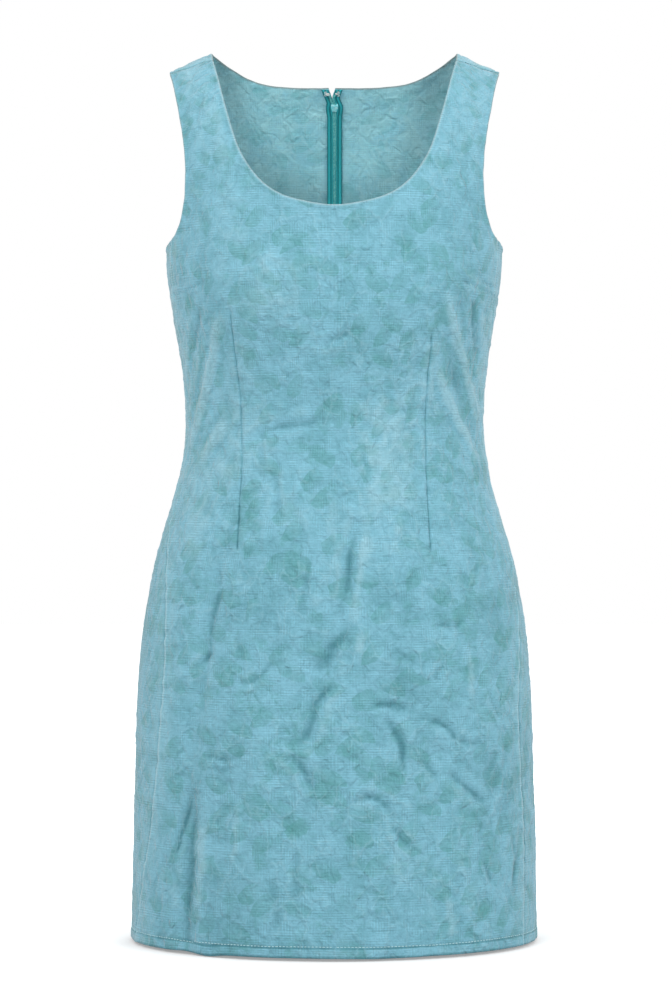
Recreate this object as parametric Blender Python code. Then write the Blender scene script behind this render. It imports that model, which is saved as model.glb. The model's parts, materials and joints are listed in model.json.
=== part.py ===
"""A sleeveless shift dress in washed cotton, filled out as if worn, held at the shoulders.

Metres, +Z up, the front towards -Y. The origin is midway between the strap tops, at their level.

The cloth lies on one form. A place on it has two coordinates:
    turn  the angle round the body, from 0 at the centre front to pi at the centre back
    run   the distance down the cloth from the ridge of the shoulder
A panel is a grid over these, with its edges cut to the neckline and the armhole, given a wall.
Left and right are as seen from the front.
"""

import math
from collections import namedtuple

import bmesh
import bpy
import numpy as np
from mathutils import Matrix, Vector

# Cloth and clearances
WALL = 0.0015
GAP = 0.0003
TAPE_GAP = 0.0006
TAPE_WALL = 0.0010
COIL_WALL = 0.0016

# Shoulder: the ridge slopes from the neck to the armhole, and the cloth rolls over it
HEM_HEIGHT = -0.838
ROLL_DEPTH = 0.170
ROLL_POWER = 1.3
SHOULDER_SLOPE = 0.500
NECK_POINT = 0.1162
RIDGE_SOFTNESS = 0.010
SLOPE_REACH = 0.240
SHOULDER_ZONE = -0.060

# Grid of the panels: columns under the neckline, under the strap and under the armhole
NECK_COLUMNS = 7
STRAP_COLUMNS = 5
ARM_COLUMNS = 4
BODY_ROWS = 26
STRAP_ROWS = 8

# Zip, from the neckline down the centre back
ZIP_END = -0.545
TAPE_WIDTH = 0.0072
COIL_WIDTH = 0.0034
SLIDER_HEIGHT = -0.0425
SLIDER_LENGTH = 0.0080
SLIDER_TOP_WIDTH = 0.0068
SLIDER_END_WIDTH = 0.0046
SLIDER_DEPTH = 0.0026
NECK_THICKNESS = 0.0010
NECK_LENGTH = 0.0026
BRIDGE_LENGTH = 0.0044
BRIDGE_ROOF = 0.0008
HINGE_HEIGHT = 0.0024
HINGE_HOLE_RADIUS = 0.0009
BAR_RADIUS = 0.00055
ARM_PLAY = 0.0005
ARM_WIDTH = 0.0010
ARM_LENGTH = 0.0039
TAB_LENGTH = 0.0215
TAB_WIDTH = 0.0048
TAB_SHOULDER_WIDTH = 0.0034
TAB_HOLE_RADIUS = 0.0009
JOIN = 0.0005

# Hook and eye
WIRE_RADIUS = 0.0004
RING_RADIUS = 0.0009
RING_SWEEP = math.radians(235)
RING_STEPS = 7
FASTENER_DEPTH = 0.0032
FASTENER_PLACE = 0.0062
LOOP_REACH = 0.0028
LOOP_RADIUS = 0.0006
LOOP_STEPS = 6
BEND_RADIUS = 0.00065
BILL_END = 0.0010


class Table:
    """Rows with named columns. A column is read as a smooth curve over the first column."""

    def __init__(self, columns, rows):
        self.names = columns.split()
        self.rows = np.array(sorted(rows), float)

    def at(self, name, place):
        knots = self.rows[:, 0]
        values = self.rows[:, self.names.index(name)]
        slopes = np.gradient(values, knots)
        place = np.clip(place, knots[0], knots[-1])
        i = np.clip(np.searchsorted(knots, place) - 1, 0, len(knots) - 2)
        span = knots[i + 1] - knots[i]
        t = (place - knots[i]) / span
        return (
            (2 * t**3 - 3 * t**2 + 1) * values[i]
            + (t**3 - 2 * t**2 + t) * span * slopes[i]
            + (3 * t**2 - 2 * t**3) * values[i + 1]
            + (t**3 - t**2) * span * slopes[i + 1]
        )


# The figure's sections, from the hem up. A squareness of 2 is an ellipse.
RINGS = Table(
    "height half_width front_depth back_depth squareness",
    (
        (0.000, 0.1700, 0.112, 0.100, 2.20),
        (-0.060, 0.1660, 0.113, 0.103, 2.20),
        (-0.120, 0.1625, 0.115, 0.106, 2.20),
        (-0.184, 0.1593, 0.118, 0.106, 2.20),
        (-0.210, 0.1576, 0.120, 0.105, 2.20),
        (-0.253, 0.1518, 0.118, 0.101, 2.15),
        (-0.287, 0.1461, 0.112, 0.096, 2.10),
        (-0.318, 0.1419, 0.106, 0.091, 2.10),
        (-0.348, 0.1401, 0.102, 0.089, 2.10),
        (-0.366, 0.1406, 0.102, 0.090, 2.10),
        (-0.392, 0.1442, 0.104, 0.094, 2.10),
        (-0.429, 0.1540, 0.109, 0.103, 2.10),
        (-0.479, 0.1685, 0.116, 0.114, 2.10),
        (-0.534, 0.1792, 0.121, 0.122, 2.10),
        (-0.593, 0.1849, 0.125, 0.127, 2.08),
        (-0.671, 0.1882, 0.129, 0.129, 2.05),
        (-0.757, 0.1896, 0.133, 0.129, 2.02),
        (-0.838, 0.1915, 0.137, 0.129, 2.00),
    ),
)

# The side seams, as turns in degrees. They lie forward of the widest line, unevenly.
SEAMS = Table(
    "height left right",
    (
        (-0.180, 73.0, 73.0),
        (-0.230, 76.0, 72.5),
        (-0.270, 76.0, 75.5),
        (-0.310, 79.5, 79.0),
        (-0.370, 81.0, 80.5),
        (-0.430, 77.5, 80.0),
        (-0.466, 70.0, 78.5),
        (-0.508, 62.5, 76.0),
        (-0.563, 58.5, 70.0),
        (-0.620, 58.5, 66.0),
        (-0.685, 61.0, 67.0),
        (-0.740, 65.0, 68.5),
        (-0.785, 70.0, 68.0),
        (-0.838, 75.0, 66.0),
    ),
)

# Half the width that the centre-back edges stand apart, above the closed zip
ZIP_OPENING = Table(
    "height half_gap",
    (
        (-0.0700, 0.00015),
        (-0.0555, 0.00015),
        (-0.0470, 0.00095),
        (-0.0395, 0.00095),
        (-0.0350, 0.00040),
        (-0.0262, 0.00320),
    ),
)
ZIP_OPENING_ROWS = (-0.0555, -0.0470, -0.0395, -0.0350, -0.0262)

# Edges, half of each: the face, the distance from the centre line and the height, where a
# height of 0 is on the ridge. The neckline goes from the centre front to the centre back.
NECKLINE = (
    ("front", 0.0000, -0.1558),
    ("front", 0.0270, -0.1522),
    ("front", 0.0490, -0.1454),
    ("front", 0.0665, -0.1332),
    ("front", 0.0800, -0.1160),
    ("front", 0.0895, -0.0975),
    ("front", 0.0985, -0.0690),
    ("front", 0.1070, -0.0380),
    ("front", 0.1148, -0.0095),
    ("back", 0.1162, 0.0000),
    ("back", 0.1135, -0.0020),
    ("back", 0.1040, -0.0085),
    ("back", 0.0860, -0.0180),
    ("back", 0.0660, -0.0240),
    ("back", 0.0360, -0.0263),
    ("back", 0.0032, -0.0262),
)
NECK_FRONT_CORNER = 4
NECK_SEAM = 8
NECK_BACK_CORNER = 11
# The armhole, from the shoulder seam down the front, under the arm and up the back
ARMHOLE = (
    ("front", 0.1560, -0.0205),
    ("front", 0.1468, -0.0545),
    ("front", 0.1403, -0.0900),
    ("front", 0.1378, -0.1210),
    ("front", 0.1395, -0.1500),
    ("front", 0.1450, -0.1710),
    ("front", 0.1523, -0.1812),
    ("back", 0.1592, -0.1865),
    ("back", 0.1500, -0.1790),
    ("back", 0.1415, -0.1580),
    ("back", 0.1375, -0.1250),
    ("back", 0.1385, -0.0860),
    ("back", 0.1450, -0.0480),
    ("back", 0.1578, 0.0000),
)
ARM_FRONT_CORNER = 5
ARM_SIDE_SEAM = 6
ARM_BACK_CORNER = 8

# Fullness that the darts give: a soft rise on both sides of the centre line
Fullness = namedtuple("Fullness", "face across height reach_across reach_up rise")
FULLNESS = (
    Fullness("front", 0.088, -0.238, 0.050, 0.058, 0.0060),
    Fullness("back", 0.075, -0.150, 0.045, 0.060, 0.0020),
)

# The largest folds: a line bent over three places, its half width, and its rise or fall
Fold = namedtuple("Fold", "face x_1 z_1 x_2 z_2 x_3 z_3 width rise")
FOLDS = (
    Fold("front", -0.101, -0.467, -0.117, -0.590, -0.146, -0.736, 0.013, -0.0050),
    Fold("front", -0.130, -0.699, -0.137, -0.770, -0.141, -0.850, 0.011, -0.0040),
    Fold("front", 0.022, -0.440, 0.004, -0.540, -0.036, -0.655, 0.014, -0.0045),
    Fold("front", 0.088, -0.640, 0.080, -0.740, 0.098, -0.850, 0.018, -0.0030),
    Fold("front", -0.070, -0.600, -0.060, -0.730, -0.075, -0.850, 0.020, 0.0030),
    Fold("back", 0.062, -0.470, 0.078, -0.620, 0.090, -0.850, 0.018, -0.0045),
    Fold("back", -0.058, -0.450, -0.070, -0.620, -0.098, -0.850, 0.016, -0.0050),
    Fold("back", 0.120, -0.520, 0.130, -0.680, 0.128, -0.850, 0.016, 0.0035),
    Fold("back", -0.018, -0.600, -0.024, -0.720, -0.034, -0.850, 0.020, 0.0030),
)
FOLD_RADIUS = 0.150
FOLD_STEPS = 24

COTTON = ("washed_cotton", (0.215, 0.492, 0.591), 0.88, 0.0)
TAPE = ("zip_tape", (0.023, 0.262, 0.314), 0.80, 0.0)
COIL = ("zip_coil", (0.060, 0.310, 0.352), 0.50, 0.0)
SLIDER_PAINT = ("slider_paint", (0.200, 0.640, 0.700), 0.35, 0.0)
STEEL = ("plated_steel", (0.720, 0.720, 0.710), 0.30, 1.0)


# The form


def ridge_height(across):
    past = np.abs(across) - NECK_POINT
    return -SHOULDER_SLOPE * 0.5 * (past + np.sqrt(past**2 + RIDGE_SOFTNESS**2) - RIDGE_SOFTNESS)


def slope_share(run):
    t = np.clip(run / SLOPE_REACH, 0, 1)
    return 1 - t * t * (3 - 2 * t)


def drop(run):
    """How far the cloth is below the ridge. It rolls off at first, then goes straight down."""
    turned = np.minimum(run / ROLL_DEPTH, math.pi / 2)
    return ROLL_DEPTH * (1 - np.cos(turned)) + run - ROLL_DEPTH * turned


def roll(run):
    return np.sin(np.minimum(run / ROLL_DEPTH, math.pi / 2)) ** ROLL_POWER


def height_at(across, run):
    return ridge_height(across) * slope_share(run) - drop(run)


def form_point(turn, run):
    """Points of the bare form, for one half of the body. A run below 0 is over the ridge."""
    over = run < 0
    turn = np.where(over, math.pi - turn, turn)
    run = np.abs(run)
    height = -drop(run)
    for _ in range(6):
        power = 2 / RINGS.at("squareness", height)
        sine = np.sin(turn)
        across = RINGS.at("half_width", height) * np.sign(sine) * np.abs(sine) ** power
        height = height_at(across, run)
    facing = np.cos(turn)
    depth = np.where(facing > 0, RINGS.at("front_depth", height), RINGS.at("back_depth", height))
    forward = np.sign(facing) * np.abs(facing) ** power * depth * roll(run)
    return np.stack([across, -forward, height], axis=-1)


def place_of(face, across, height):
    """The turn and the run of a place given by its distance from the centre and its height."""
    low, high = 0.0, 1.2
    for _ in range(50):
        run = (low + high) / 2
        if height_at(across, run) > height:
            low = run
        else:
            high = run
    height = height_at(across, run)
    share = min(abs(across) / float(RINGS.at("half_width", height)), 1.0)
    turn = math.asin(share ** (float(RINGS.at("squareness", height)) / 2))
    return (turn if face == "front" else math.pi - turn), run


def turn_across(across, heights):
    """The turn, from the nearer centre line, of places this far across at these heights."""
    share = np.clip(across / RINGS.at("half_width", heights), 0, 1)
    return np.arcsin(share ** (RINGS.at("squareness", heights) / 2))


def half_gap(heights):
    return np.maximum(ZIP_OPENING.at("half_gap", heights), GAP / 2)


def fold_rise(turn, run, side):
    """How far the folds and the darts' fullness move the cloth outwards."""
    point = form_point(turn, run)
    turn = np.where(run < 0, math.pi - turn, turn)
    around = side * turn * FOLD_RADIUS
    height = point[..., 2]
    rise = np.zeros(np.shape(around))
    for part in FULLNESS:
        centre = place_of(part.face, part.across, part.height)[0] * FOLD_RADIUS
        away_across = (np.abs(around) - centre) / part.reach_across
        away_up = (height - part.height) / part.reach_up
        rise += part.rise * np.exp(-(away_across**2) - away_up**2)
    for fold in FOLDS:
        ends = ((fold.x_1, fold.z_1), (fold.x_2, fold.z_2), (fold.x_3, fold.z_3))
        places = [
            (math.copysign(place_of(fold.face, x, z)[0], x) * FOLD_RADIUS, z) for x, z in ends
        ]
        start, middle, end = np.array(places)
        nearest = np.full(np.shape(around), np.inf)
        taper = np.zeros(np.shape(around))
        for t in np.linspace(0, 1, FOLD_STEPS + 1):
            spot = (1 - t) ** 2 * start + 2 * t * (1 - t) * middle + t**2 * end
            away = (around - spot[0]) ** 2 + (height - spot[1]) ** 2
            closer = away < nearest
            nearest = np.where(closer, away, nearest)
            taper = np.where(closer, math.sin(math.pi * t) ** 0.5, taper)
        rise += fold.rise * taper * np.exp(-nearest / fold.width**2)
    return rise


def bare_normal(turn, run):
    step = 1e-4
    down = form_point(turn, run + step) - form_point(turn, run - step)
    round_body = form_point(turn + step, run) - form_point(turn - step, run)
    normal = np.cross(down, round_body)
    return normal / np.linalg.norm(normal, axis=-1, keepdims=True)


def cloth_point(turn, run, side):
    """Points of the cloth's middle, on the side that is 1 at +X and -1 at -X."""
    point = form_point(turn, run) + bare_normal(turn, run) * fold_rise(turn, run, side)[..., None]
    return point * (side, 1, 1)


def cloth_frame(turn, run, side):
    """Points and outward normals of the cloth's middle."""
    step = 4e-4
    down = cloth_point(turn, run + step, side) - cloth_point(turn, run - step, side)
    round_body = cloth_point(turn + step, run, side) - cloth_point(turn - step, run, side)
    normal = np.cross(down, round_body) * side
    return cloth_point(turn, run, side), normal / np.linalg.norm(normal, axis=-1, keepdims=True)


# Panels


def home_place(home, face, across, height):
    """A place in a panel's own coordinates: its angle from the panel's centre line, and its run.

    Near the shoulder a place on the other face has a run below 0.
    """
    turn, run = place_of(face, across, height)
    from_centre = turn if home == "front" else math.pi - turn
    if face != home and height > SHOULDER_ZONE:
        return math.pi - from_centre, -run
    return math.copysign(from_centre, across), run


def body_place(home, grid):
    """The turn and the run of places in a panel's own coordinates."""
    from_centre, run = grid[..., 0], grid[..., 1]
    on_front = (run >= 0) == (home == "front")
    return np.where(on_front, from_centre, math.pi - from_centre), np.abs(run)


def edge_rows(home):
    """A panel's neckline, from its centre line up, and its armhole, from the shoulder down.

    Each goes one row past its ends, which keeps it smooth across the seams. The numbers are
    the rows of its start, its corner and its end.
    """
    if home == "front":
        face, across, height = NECKLINE[1]
        neck = [(face, -across, height), *NECKLINE[: NECK_SEAM + 2]]
        arm = [ARMHOLE[-1], *ARMHOLE[: ARM_SIDE_SEAM + 2]]
        neck_ends = (1, NECK_FRONT_CORNER + 1, NECK_SEAM + 1)
        return neck, neck_ends, arm, (1, ARM_FRONT_CORNER + 1, ARM_SIDE_SEAM + 1)
    neck = NECKLINE[: NECK_SEAM - 2 : -1]
    arm = [ARMHOLE[1], ARMHOLE[0], *ARMHOLE[: ARM_SIDE_SEAM - 2 : -1]]
    neck_last, arm_last = len(NECKLINE) - 1, len(ARMHOLE) + 1
    neck_ends = (0, neck_last - NECK_BACK_CORNER, neck_last - NECK_SEAM)
    return neck, neck_ends, arm, (1, arm_last - ARM_BACK_CORNER, arm_last - ARM_SIDE_SEAM)


def smooth_edge(places, first, last, count):
    """Evenly spaced places from one row to another of a smooth curve through all the rows."""
    samples = 20
    places = np.array(places)
    padded = np.vstack([2 * places[0] - places[1], places, 2 * places[-1] - places[-2]])
    curve = []
    for i in range(first, last):
        a, b, c, d = padded[i : i + 4]
        for t in np.arange(samples) / samples:
            pull = (c - a) * t + (2 * a - 5 * b + 4 * c - d) * t**2 + (3 * b - a - 3 * c + d) * t**3
            curve.append(b + pull / 2)
    curve = np.array([*curve, places[last]])
    points = form_point(curve[:, 0], curve[:, 1])
    length = np.concatenate([[0], np.cumsum(np.linalg.norm(np.diff(points, axis=0), axis=1))])
    even = np.linspace(0, length[-1], count + 1)
    return np.stack([np.interp(even, length, curve[:, k]) for k in (0, 1)], axis=-1)


def line(start, end, count):
    return np.linspace(start, end, count + 1)


def patch(bottom, top, left, right):
    """A grid of places that fills the four edges, as rows from the bottom to the top."""
    u = np.linspace(0, 1, len(bottom))[None, :, None]
    v = np.linspace(0, 1, len(left))[:, None, None]
    corners = (1 - v) * ((1 - u) * bottom[0] + u * bottom[-1])
    corners += v * ((1 - u) * top[0] + u * top[-1])
    between = (1 - v) * bottom[None] + v * top[None]
    return between + (1 - u) * left[:, None] + u * right[:, None] - corners


def half_grids(home, side):
    """The places of a half panel: the grid of its body and that of its strap."""
    neck, neck_ends, arm, arm_ends = edge_rows(home)
    neck = [home_place(home, *row) for row in neck]
    arm = [home_place(home, *row) for row in arm]
    under_neck = smooth_edge(neck, neck_ends[0], neck_ends[1], NECK_COLUMNS)
    neck_side = smooth_edge(neck, neck_ends[1], neck_ends[2], STRAP_ROWS)
    arm_side = smooth_edge(arm, arm_ends[0], arm_ends[1], STRAP_ROWS)[::-1]
    under_arm = smooth_edge(arm, arm_ends[1], arm_ends[2], ARM_COLUMNS)
    strap_base = line(under_neck[-1], under_arm[0], STRAP_COLUMNS)
    shoulder = line(neck_side[-1], arm_side[-1], STRAP_COLUMNS)
    top = np.concatenate([under_neck, strap_base[1:], under_arm[1:]])

    runs = np.linspace(hem_run(), top[-1][1], BODY_ROWS + 1)
    seam = np.radians(SEAMS.at("left" if side < 0 else "right", -drop(runs)))
    right = np.stack([seam if home == "front" else math.pi - seam, runs], axis=-1)
    right[-1] = top[-1]
    left = line((0, hem_run()), top[0], BODY_ROWS) if home == "front" else centre_back_edge()
    left[-1] = top[0]
    body = patch(line(left[0], right[0], len(top) - 1), top, left, right)
    return body, patch(strap_base, shoulder, neck_side, arm_side)


def hem_run():
    return ROLL_DEPTH * (math.pi / 2 - 1) - HEM_HEIGHT


def centre_back_runs():
    """Even rows from the hem to the zip's opening, then the rows that shape it."""
    opening = [place_of("back", 0.0, height)[1] for height in ZIP_OPENING_ROWS]
    even_rows = BODY_ROWS - len(opening) + 1
    return np.array([*np.linspace(hem_run(), opening[0], even_rows + 1), *opening[1:]])


def centre_back_edge():
    runs = centre_back_runs()
    heights = height_at(0.0, runs)
    return np.stack([turn_across(half_gap(heights), heights), runs], axis=-1)


def pulled_in(grid, edge, inside):
    """The grid with one edge moved towards the line inside it, by half of a seam's gap."""
    moved = grid.copy()
    points, inner = (form_point(grid[row][..., 0], grid[row][..., 1]) for row in (edge, inside))
    share = GAP / 2 / np.linalg.norm(inner - points, axis=-1, keepdims=True)
    moved[edge] += (grid[inside] - grid[edge]) * share
    return moved


def panel_sheet(home, side):
    """Points, normals and faces of half a panel, with its seam edges pulled in."""
    body, strap = half_grids(home, side)
    body = pulled_in(body, np.s_[:, -1], np.s_[:, -2])
    strap = pulled_in(strap, np.s_[-1, :], np.s_[-2, :])
    points, normals, faces, start = [], [], [], 0
    for grid in (body, strap):
        point, normal = cloth_frame(*body_place(home, grid), side)
        points.append(point.reshape(-1, 3))
        normals.append(normal.reshape(-1, 3))
        index = start + np.arange(grid[..., 0].size).reshape(grid.shape[:2])
        quads = np.stack([index[:-1, :-1], index[:-1, 1:], index[1:, 1:], index[1:, :-1]], axis=-1)
        turned = (home == "front") == (side < 0)
        faces.append(quads.reshape(-1, 4)[:, ::-1] if turned else quads.reshape(-1, 4))
        start += index.size
    return np.concatenate(points), np.concatenate(normals), np.concatenate(faces)


def merged(points, normals, faces):
    """The sheet with its doubled points made one."""
    _, first, index = np.unique(
        np.round(points, 6), axis=0, return_index=True, return_inverse=True
    )
    return points[first], normals[first], index.reshape(-1)[faces]


def wall_object(name, sheets, outside, inside, finish):
    """A closed wall over sheets, from one distance along the normals to another."""
    points, normals, faces, start = [], [], [], 0
    for sheet_points, sheet_normals, sheet_faces in sheets:
        points.append(sheet_points)
        normals.append(sheet_normals)
        faces.append(sheet_faces + start)
        start += len(sheet_points)
    points, normals, faces = merged(*(np.concatenate(part) for part in (points, normals, faces)))
    count = len(points)
    corners = np.concatenate([points + outside * normals, points + inside * normals])
    edges = np.concatenate([faces[:, [k, (k + 1) % 4]] for k in range(4)])
    known = {tuple(edge) for edge in edges.tolist()}
    rim = [(b, a, a + count, b + count) for a, b in known if (b, a) not in known]
    quads = [*faces.tolist(), *(faces[:, ::-1] + count).tolist(), *sorted(rim)]
    mesh = bpy.data.meshes.new(name)
    mesh.from_pydata(corners.tolist(), [], quads)
    return add_object(name, mesh, finish)


# Zip


def zip_strip(side, width, top):
    """A sheet down the centre back, on the rows of the panels' edges.

    A side of 1 or -1 starts at that panel's edge, and 0 lies over both.
    """
    runs = centre_back_runs()
    heights = height_at(0.0, runs)
    shown = (heights > ZIP_END) & (heights < top)
    runs, heights = runs[shown], heights[shown]
    offsets = (half_gap(heights), half_gap(heights) + width) if side else (width / 2, width / 2)
    sides = (side, side) if side else (-1, 1)
    points, normals = [], []
    for offset, on_side in zip(offsets, sides):
        turns = math.pi - turn_across(offset, heights)
        point, normal = cloth_frame(turns, runs, on_side)
        points.append(point)
        normals.append(normal)
    points, normals = (np.stack(ends, axis=1).reshape(-1, 3) for ends in (points, normals))
    index = np.arange(len(points)).reshape(-1, 2)
    faces = np.stack([index[:-1, 0], index[:-1, 1], index[1:, 1], index[1:, 0]], axis=-1)
    return points, normals, faces[:, ::-1] if side >= 0 else faces


def centre_back_frame(height):
    """A frame on the centre-back line: X across, Y down the cloth, Z out of it."""
    run = place_of("back", 0.0, height)[1]
    turn = np.array(math.pi)
    point = cloth_point(turn, np.array(run), 1)
    below = cloth_point(turn, np.array(run + 0.002), 1)
    down = Vector(below - point).normalized()
    out = Vector((1, 0, 0)).cross(down)
    across = Vector((1, 0, 0))
    if out.y < 0:
        out = -out
        across = -across
    frame = Matrix((across, down, out)).transposed().to_4x4()
    frame.translation = Vector(point)
    return frame


def prism(name, outline, low, high):
    """An outline in X and Y, counter-clockwise, extruded from one height to another."""
    shape = bmesh.new()
    face = shape.faces.new([shape.verts.new((x, y, low)) for x, y in outline])
    raised = bmesh.ops.extrude_face_region(shape, geom=[face])["geom"]
    corners = [item for item in raised if isinstance(item, bmesh.types.BMVert)]
    bmesh.ops.translate(shape, verts=corners, vec=(0, 0, high - low))
    bmesh.ops.recalc_face_normals(shape, faces=shape.faces)
    mesh = bpy.data.meshes.new(name)
    shape.to_mesh(mesh)
    shape.free()
    return mesh


def rod_mesh(name, radius, half_length, sides):
    """A cylinder along X about the origin."""
    shape = bmesh.new()
    turned = Matrix.Rotation(math.pi / 2, 4, "Y")
    bmesh.ops.create_cone(
        shape,
        cap_ends=True,
        segments=sides,
        radius1=radius,
        radius2=radius,
        depth=2 * half_length,
        matrix=turned,
    )
    mesh = bpy.data.meshes.new(name)
    shape.to_mesh(mesh)
    shape.free()
    return mesh


def combine(target, mesh, operation, shift=None):
    """Joins a helper mesh to an object, or cuts it away, with a Boolean."""
    helper = bpy.data.objects.new(mesh.name, mesh)
    bpy.context.scene.collection.objects.link(helper)
    helper.parent = target
    if shift is not None:
        helper.matrix_local = shift
    helper.hide_render = True
    helper.display_type = "WIRE"
    boolean = target.modifiers.new(mesh.name, "BOOLEAN")
    boolean.operation = operation
    boolean.solver = "EXACT"
    boolean.object = helper


def rectangle(left, right, bottom, top):
    return [(left, bottom), (right, bottom), (right, top), (left, top)]


def make_slider(frame):
    """Body inside the cloth, a thin neck through the slit, and a bridge with the hinge's hole."""
    face = -(WALL / 2 + TAPE_GAP + TAPE_WALL + GAP)
    half, top, end = SLIDER_LENGTH / 2, SLIDER_TOP_WIDTH / 2, SLIDER_END_WIDTH / 2
    cheek = -half / 4
    outline = [(-top, -half), (top, -half), (top, cheek), (end, half), (-end, half), (-top, cheek)]
    body = prism("zip_slider", outline, face - SLIDER_DEPTH, face)
    slider = add_object("zip_slider", body, SLIDER_PAINT)
    slider.matrix_world = frame
    foot, roof = WALL / 2 + GAP, HINGE_HEIGHT + HINGE_HOLE_RADIUS + BRIDGE_ROOF
    reach = BRIDGE_LENGTH / 2
    bridge = [(-reach, foot), (reach, foot), (reach, HINGE_HEIGHT)]
    bridge += [(reach / 2, roof), (-reach / 2, roof), (-reach, HINGE_HEIGHT)]
    neck = rectangle(-NECK_LENGTH / 2, NECK_LENGTH / 2, face - JOIN, foot + JOIN)
    upright = Matrix(((0, 0, 1, 0), (1, 0, 0, 0), (0, 1, 0, 0), (0, 0, 0, 1)))
    thin = NECK_THICKNESS / 2
    combine(slider, prism("slider_neck", neck, -thin * 0.98, thin * 0.98), "UNION", upright)
    combine(slider, prism("slider_bridge", bridge, -thin, thin), "UNION", upright)
    hole = rod_mesh("slider_hole", HINGE_HOLE_RADIUS, NECK_THICKNESS, 16)
    combine(slider, hole, "DIFFERENCE", Matrix.Translation((0, 0, HINGE_HEIGHT)))


def make_pull_tab(frame):
    """A stirrup whose bar lies in the bridge's hole, with a long round-ended plate below it."""
    arm_in = NECK_THICKNESS / 2 + ARM_PLAY
    arm_out = arm_in + ARM_WIDTH
    half, shoulder = TAB_WIDTH / 2, TAB_SHOULDER_WIDTH / 2
    tip = TAB_LENGTH - half
    plate_top = ARM_LENGTH - JOIN
    outline = [(-shoulder, plate_top), (shoulder, plate_top)]
    outline += [
        (half * math.cos(angle), tip + half * math.sin(angle))
        for angle in np.linspace(0, math.pi, 9)
    ]
    plate = prism("zip_pull_tab", outline, -BAR_RADIUS, BAR_RADIUS)
    tab = add_object("zip_pull_tab", plate, SLIDER_PAINT)
    tab.matrix_world = frame @ Matrix.Translation((0, 0, HINGE_HEIGHT))
    thin = BAR_RADIUS * 0.9
    for name, left, right in (("arm_left", -arm_out, -arm_in), ("arm_right", arm_in, arm_out)):
        arm = rectangle(left, right, 0.0, ARM_LENGTH)
        combine(tab, prism(name, arm, -thin, thin), "UNION")
    combine(tab, rod_mesh("tab_bar", BAR_RADIUS, arm_out, 12), "UNION")
    hole_place = Matrix.Translation((0, tip, 0)) @ Matrix.Rotation(math.pi / 2, 4, "Y")
    combine(tab, rod_mesh("tab_hole", TAB_HOLE_RADIUS, TAB_WIDTH / 2, 12), "DIFFERENCE", hole_place)


# Hook and eye


def ring(centre):
    """Part of a ring of wire about a centre on the Y axis. Its end goes out along X."""
    angles = np.linspace(-RING_SWEEP, 0, RING_STEPS + 1) - math.pi / 2
    return [(RING_RADIUS * math.cos(a), centre + RING_RADIUS * math.sin(a), 0.0) for a in angles]


def wire_object(name, path, frame):
    curve = bpy.data.curves.new(name, "CURVE")
    curve.dimensions = "3D"
    curve.bevel_depth = WIRE_RADIUS
    curve.bevel_resolution = 1
    curve.use_fill_caps = True
    spline = curve.splines.new("POLY")
    spline.points.add(len(path) - 1)
    for point, place in zip(spline.points, path):
        point.co = (*place, 1)
    add_object(name, curve, STEEL).matrix_world = frame


def make_hook_and_eye():
    """The eye is a loop between two rings. The hook's loop bends back on itself."""
    frame = centre_back_frame(NECKLINE[-1][2] - FASTENER_DEPTH)
    lift = WALL / 2 + TAPE_GAP + TAPE_WALL + GAP + WIRE_RADIUS
    start = ring(RING_RADIUS + LOOP_RADIUS)
    end = [(x, -y, z) for x, y, z in start[::-1]]
    half_turn = np.linspace(math.pi / 2, -math.pi / 2, LOOP_STEPS)
    centre = LOOP_REACH - LOOP_RADIUS
    loop = [
        (centre + LOOP_RADIUS * math.cos(a), LOOP_RADIUS * math.sin(a), 0.0) for a in half_turn
    ]
    bend = [
        (LOOP_REACH + BEND_RADIUS * math.cos(a), LOOP_RADIUS, BEND_RADIUS * (math.sin(a) - 1))
        for a in half_turn
    ]
    bill = [
        (BILL_END - LOOP_RADIUS * math.cos(a), LOOP_RADIUS * math.sin(a), -2 * BEND_RADIUS)
        for a in half_turn
    ]
    bend_back = [(x, -y, z) for x, y, z in bend[::-1]]
    eye_side = 1 if (frame.to_3x3() @ Vector((1, 0, 0))).x > 0 else -1
    hook_loop = bend + bill + bend_back
    for name, side, path in (("neck_eye", eye_side, loop), ("neck_hook", -eye_side, hook_loop)):
        place = Matrix.Translation((side * FASTENER_PLACE, 0, -lift))
        mirrored = place @ Matrix.Diagonal((-side, 1, 1, 1))
        wire_object(name, start + path + end, frame @ mirrored)


# Scene


def finish_material(finish):
    name, colour, roughness, metallic = finish
    if name in bpy.data.materials:
        return bpy.data.materials[name]
    material = bpy.data.materials.new(name)
    material.use_nodes = True
    shader = material.node_tree.nodes["Principled BSDF"]
    shader.inputs["Base Color"].default_value = (*colour, 1)
    shader.inputs["Roughness"].default_value = roughness
    shader.inputs["Metallic"].default_value = metallic
    return material


def add_object(name, data, finish):
    data.materials.append(finish_material(finish))
    made = bpy.data.objects.new(name, data)
    bpy.context.scene.collection.objects.link(made)
    return made


def clear_scene():
    for old in list(bpy.data.objects):
        bpy.data.objects.remove(old, do_unlink=True)


def main():
    clear_scene()
    wall = WALL / 2
    fronts = [panel_sheet("front", side) for side in (-1, 1)]
    wall_object("front_panel", fronts, wall, -wall, COTTON)
    for side, label in ((-1, "left"), (1, "right")):
        wall_object(f"back_panel_{label}", [panel_sheet("back", side)], wall, -wall, COTTON)
    tape_out = -(wall + TAPE_GAP)
    tape_in = tape_out - TAPE_WALL
    coil_out = tape_in - GAP
    for side, label in ((-1, "left"), (1, "right")):
        wall_object(f"zip_tape_{label}", [zip_strip(side, TAPE_WIDTH, 0.0)], tape_out, tape_in, TAPE)
    coil = zip_strip(0, COIL_WIDTH, SLIDER_HEIGHT)
    wall_object("zip_coil", [coil], coil_out, coil_out - COIL_WALL, COIL)
    frame = centre_back_frame(SLIDER_HEIGHT)
    make_slider(frame)
    make_pull_tab(frame)
    make_hook_and_eye()


main()
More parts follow.
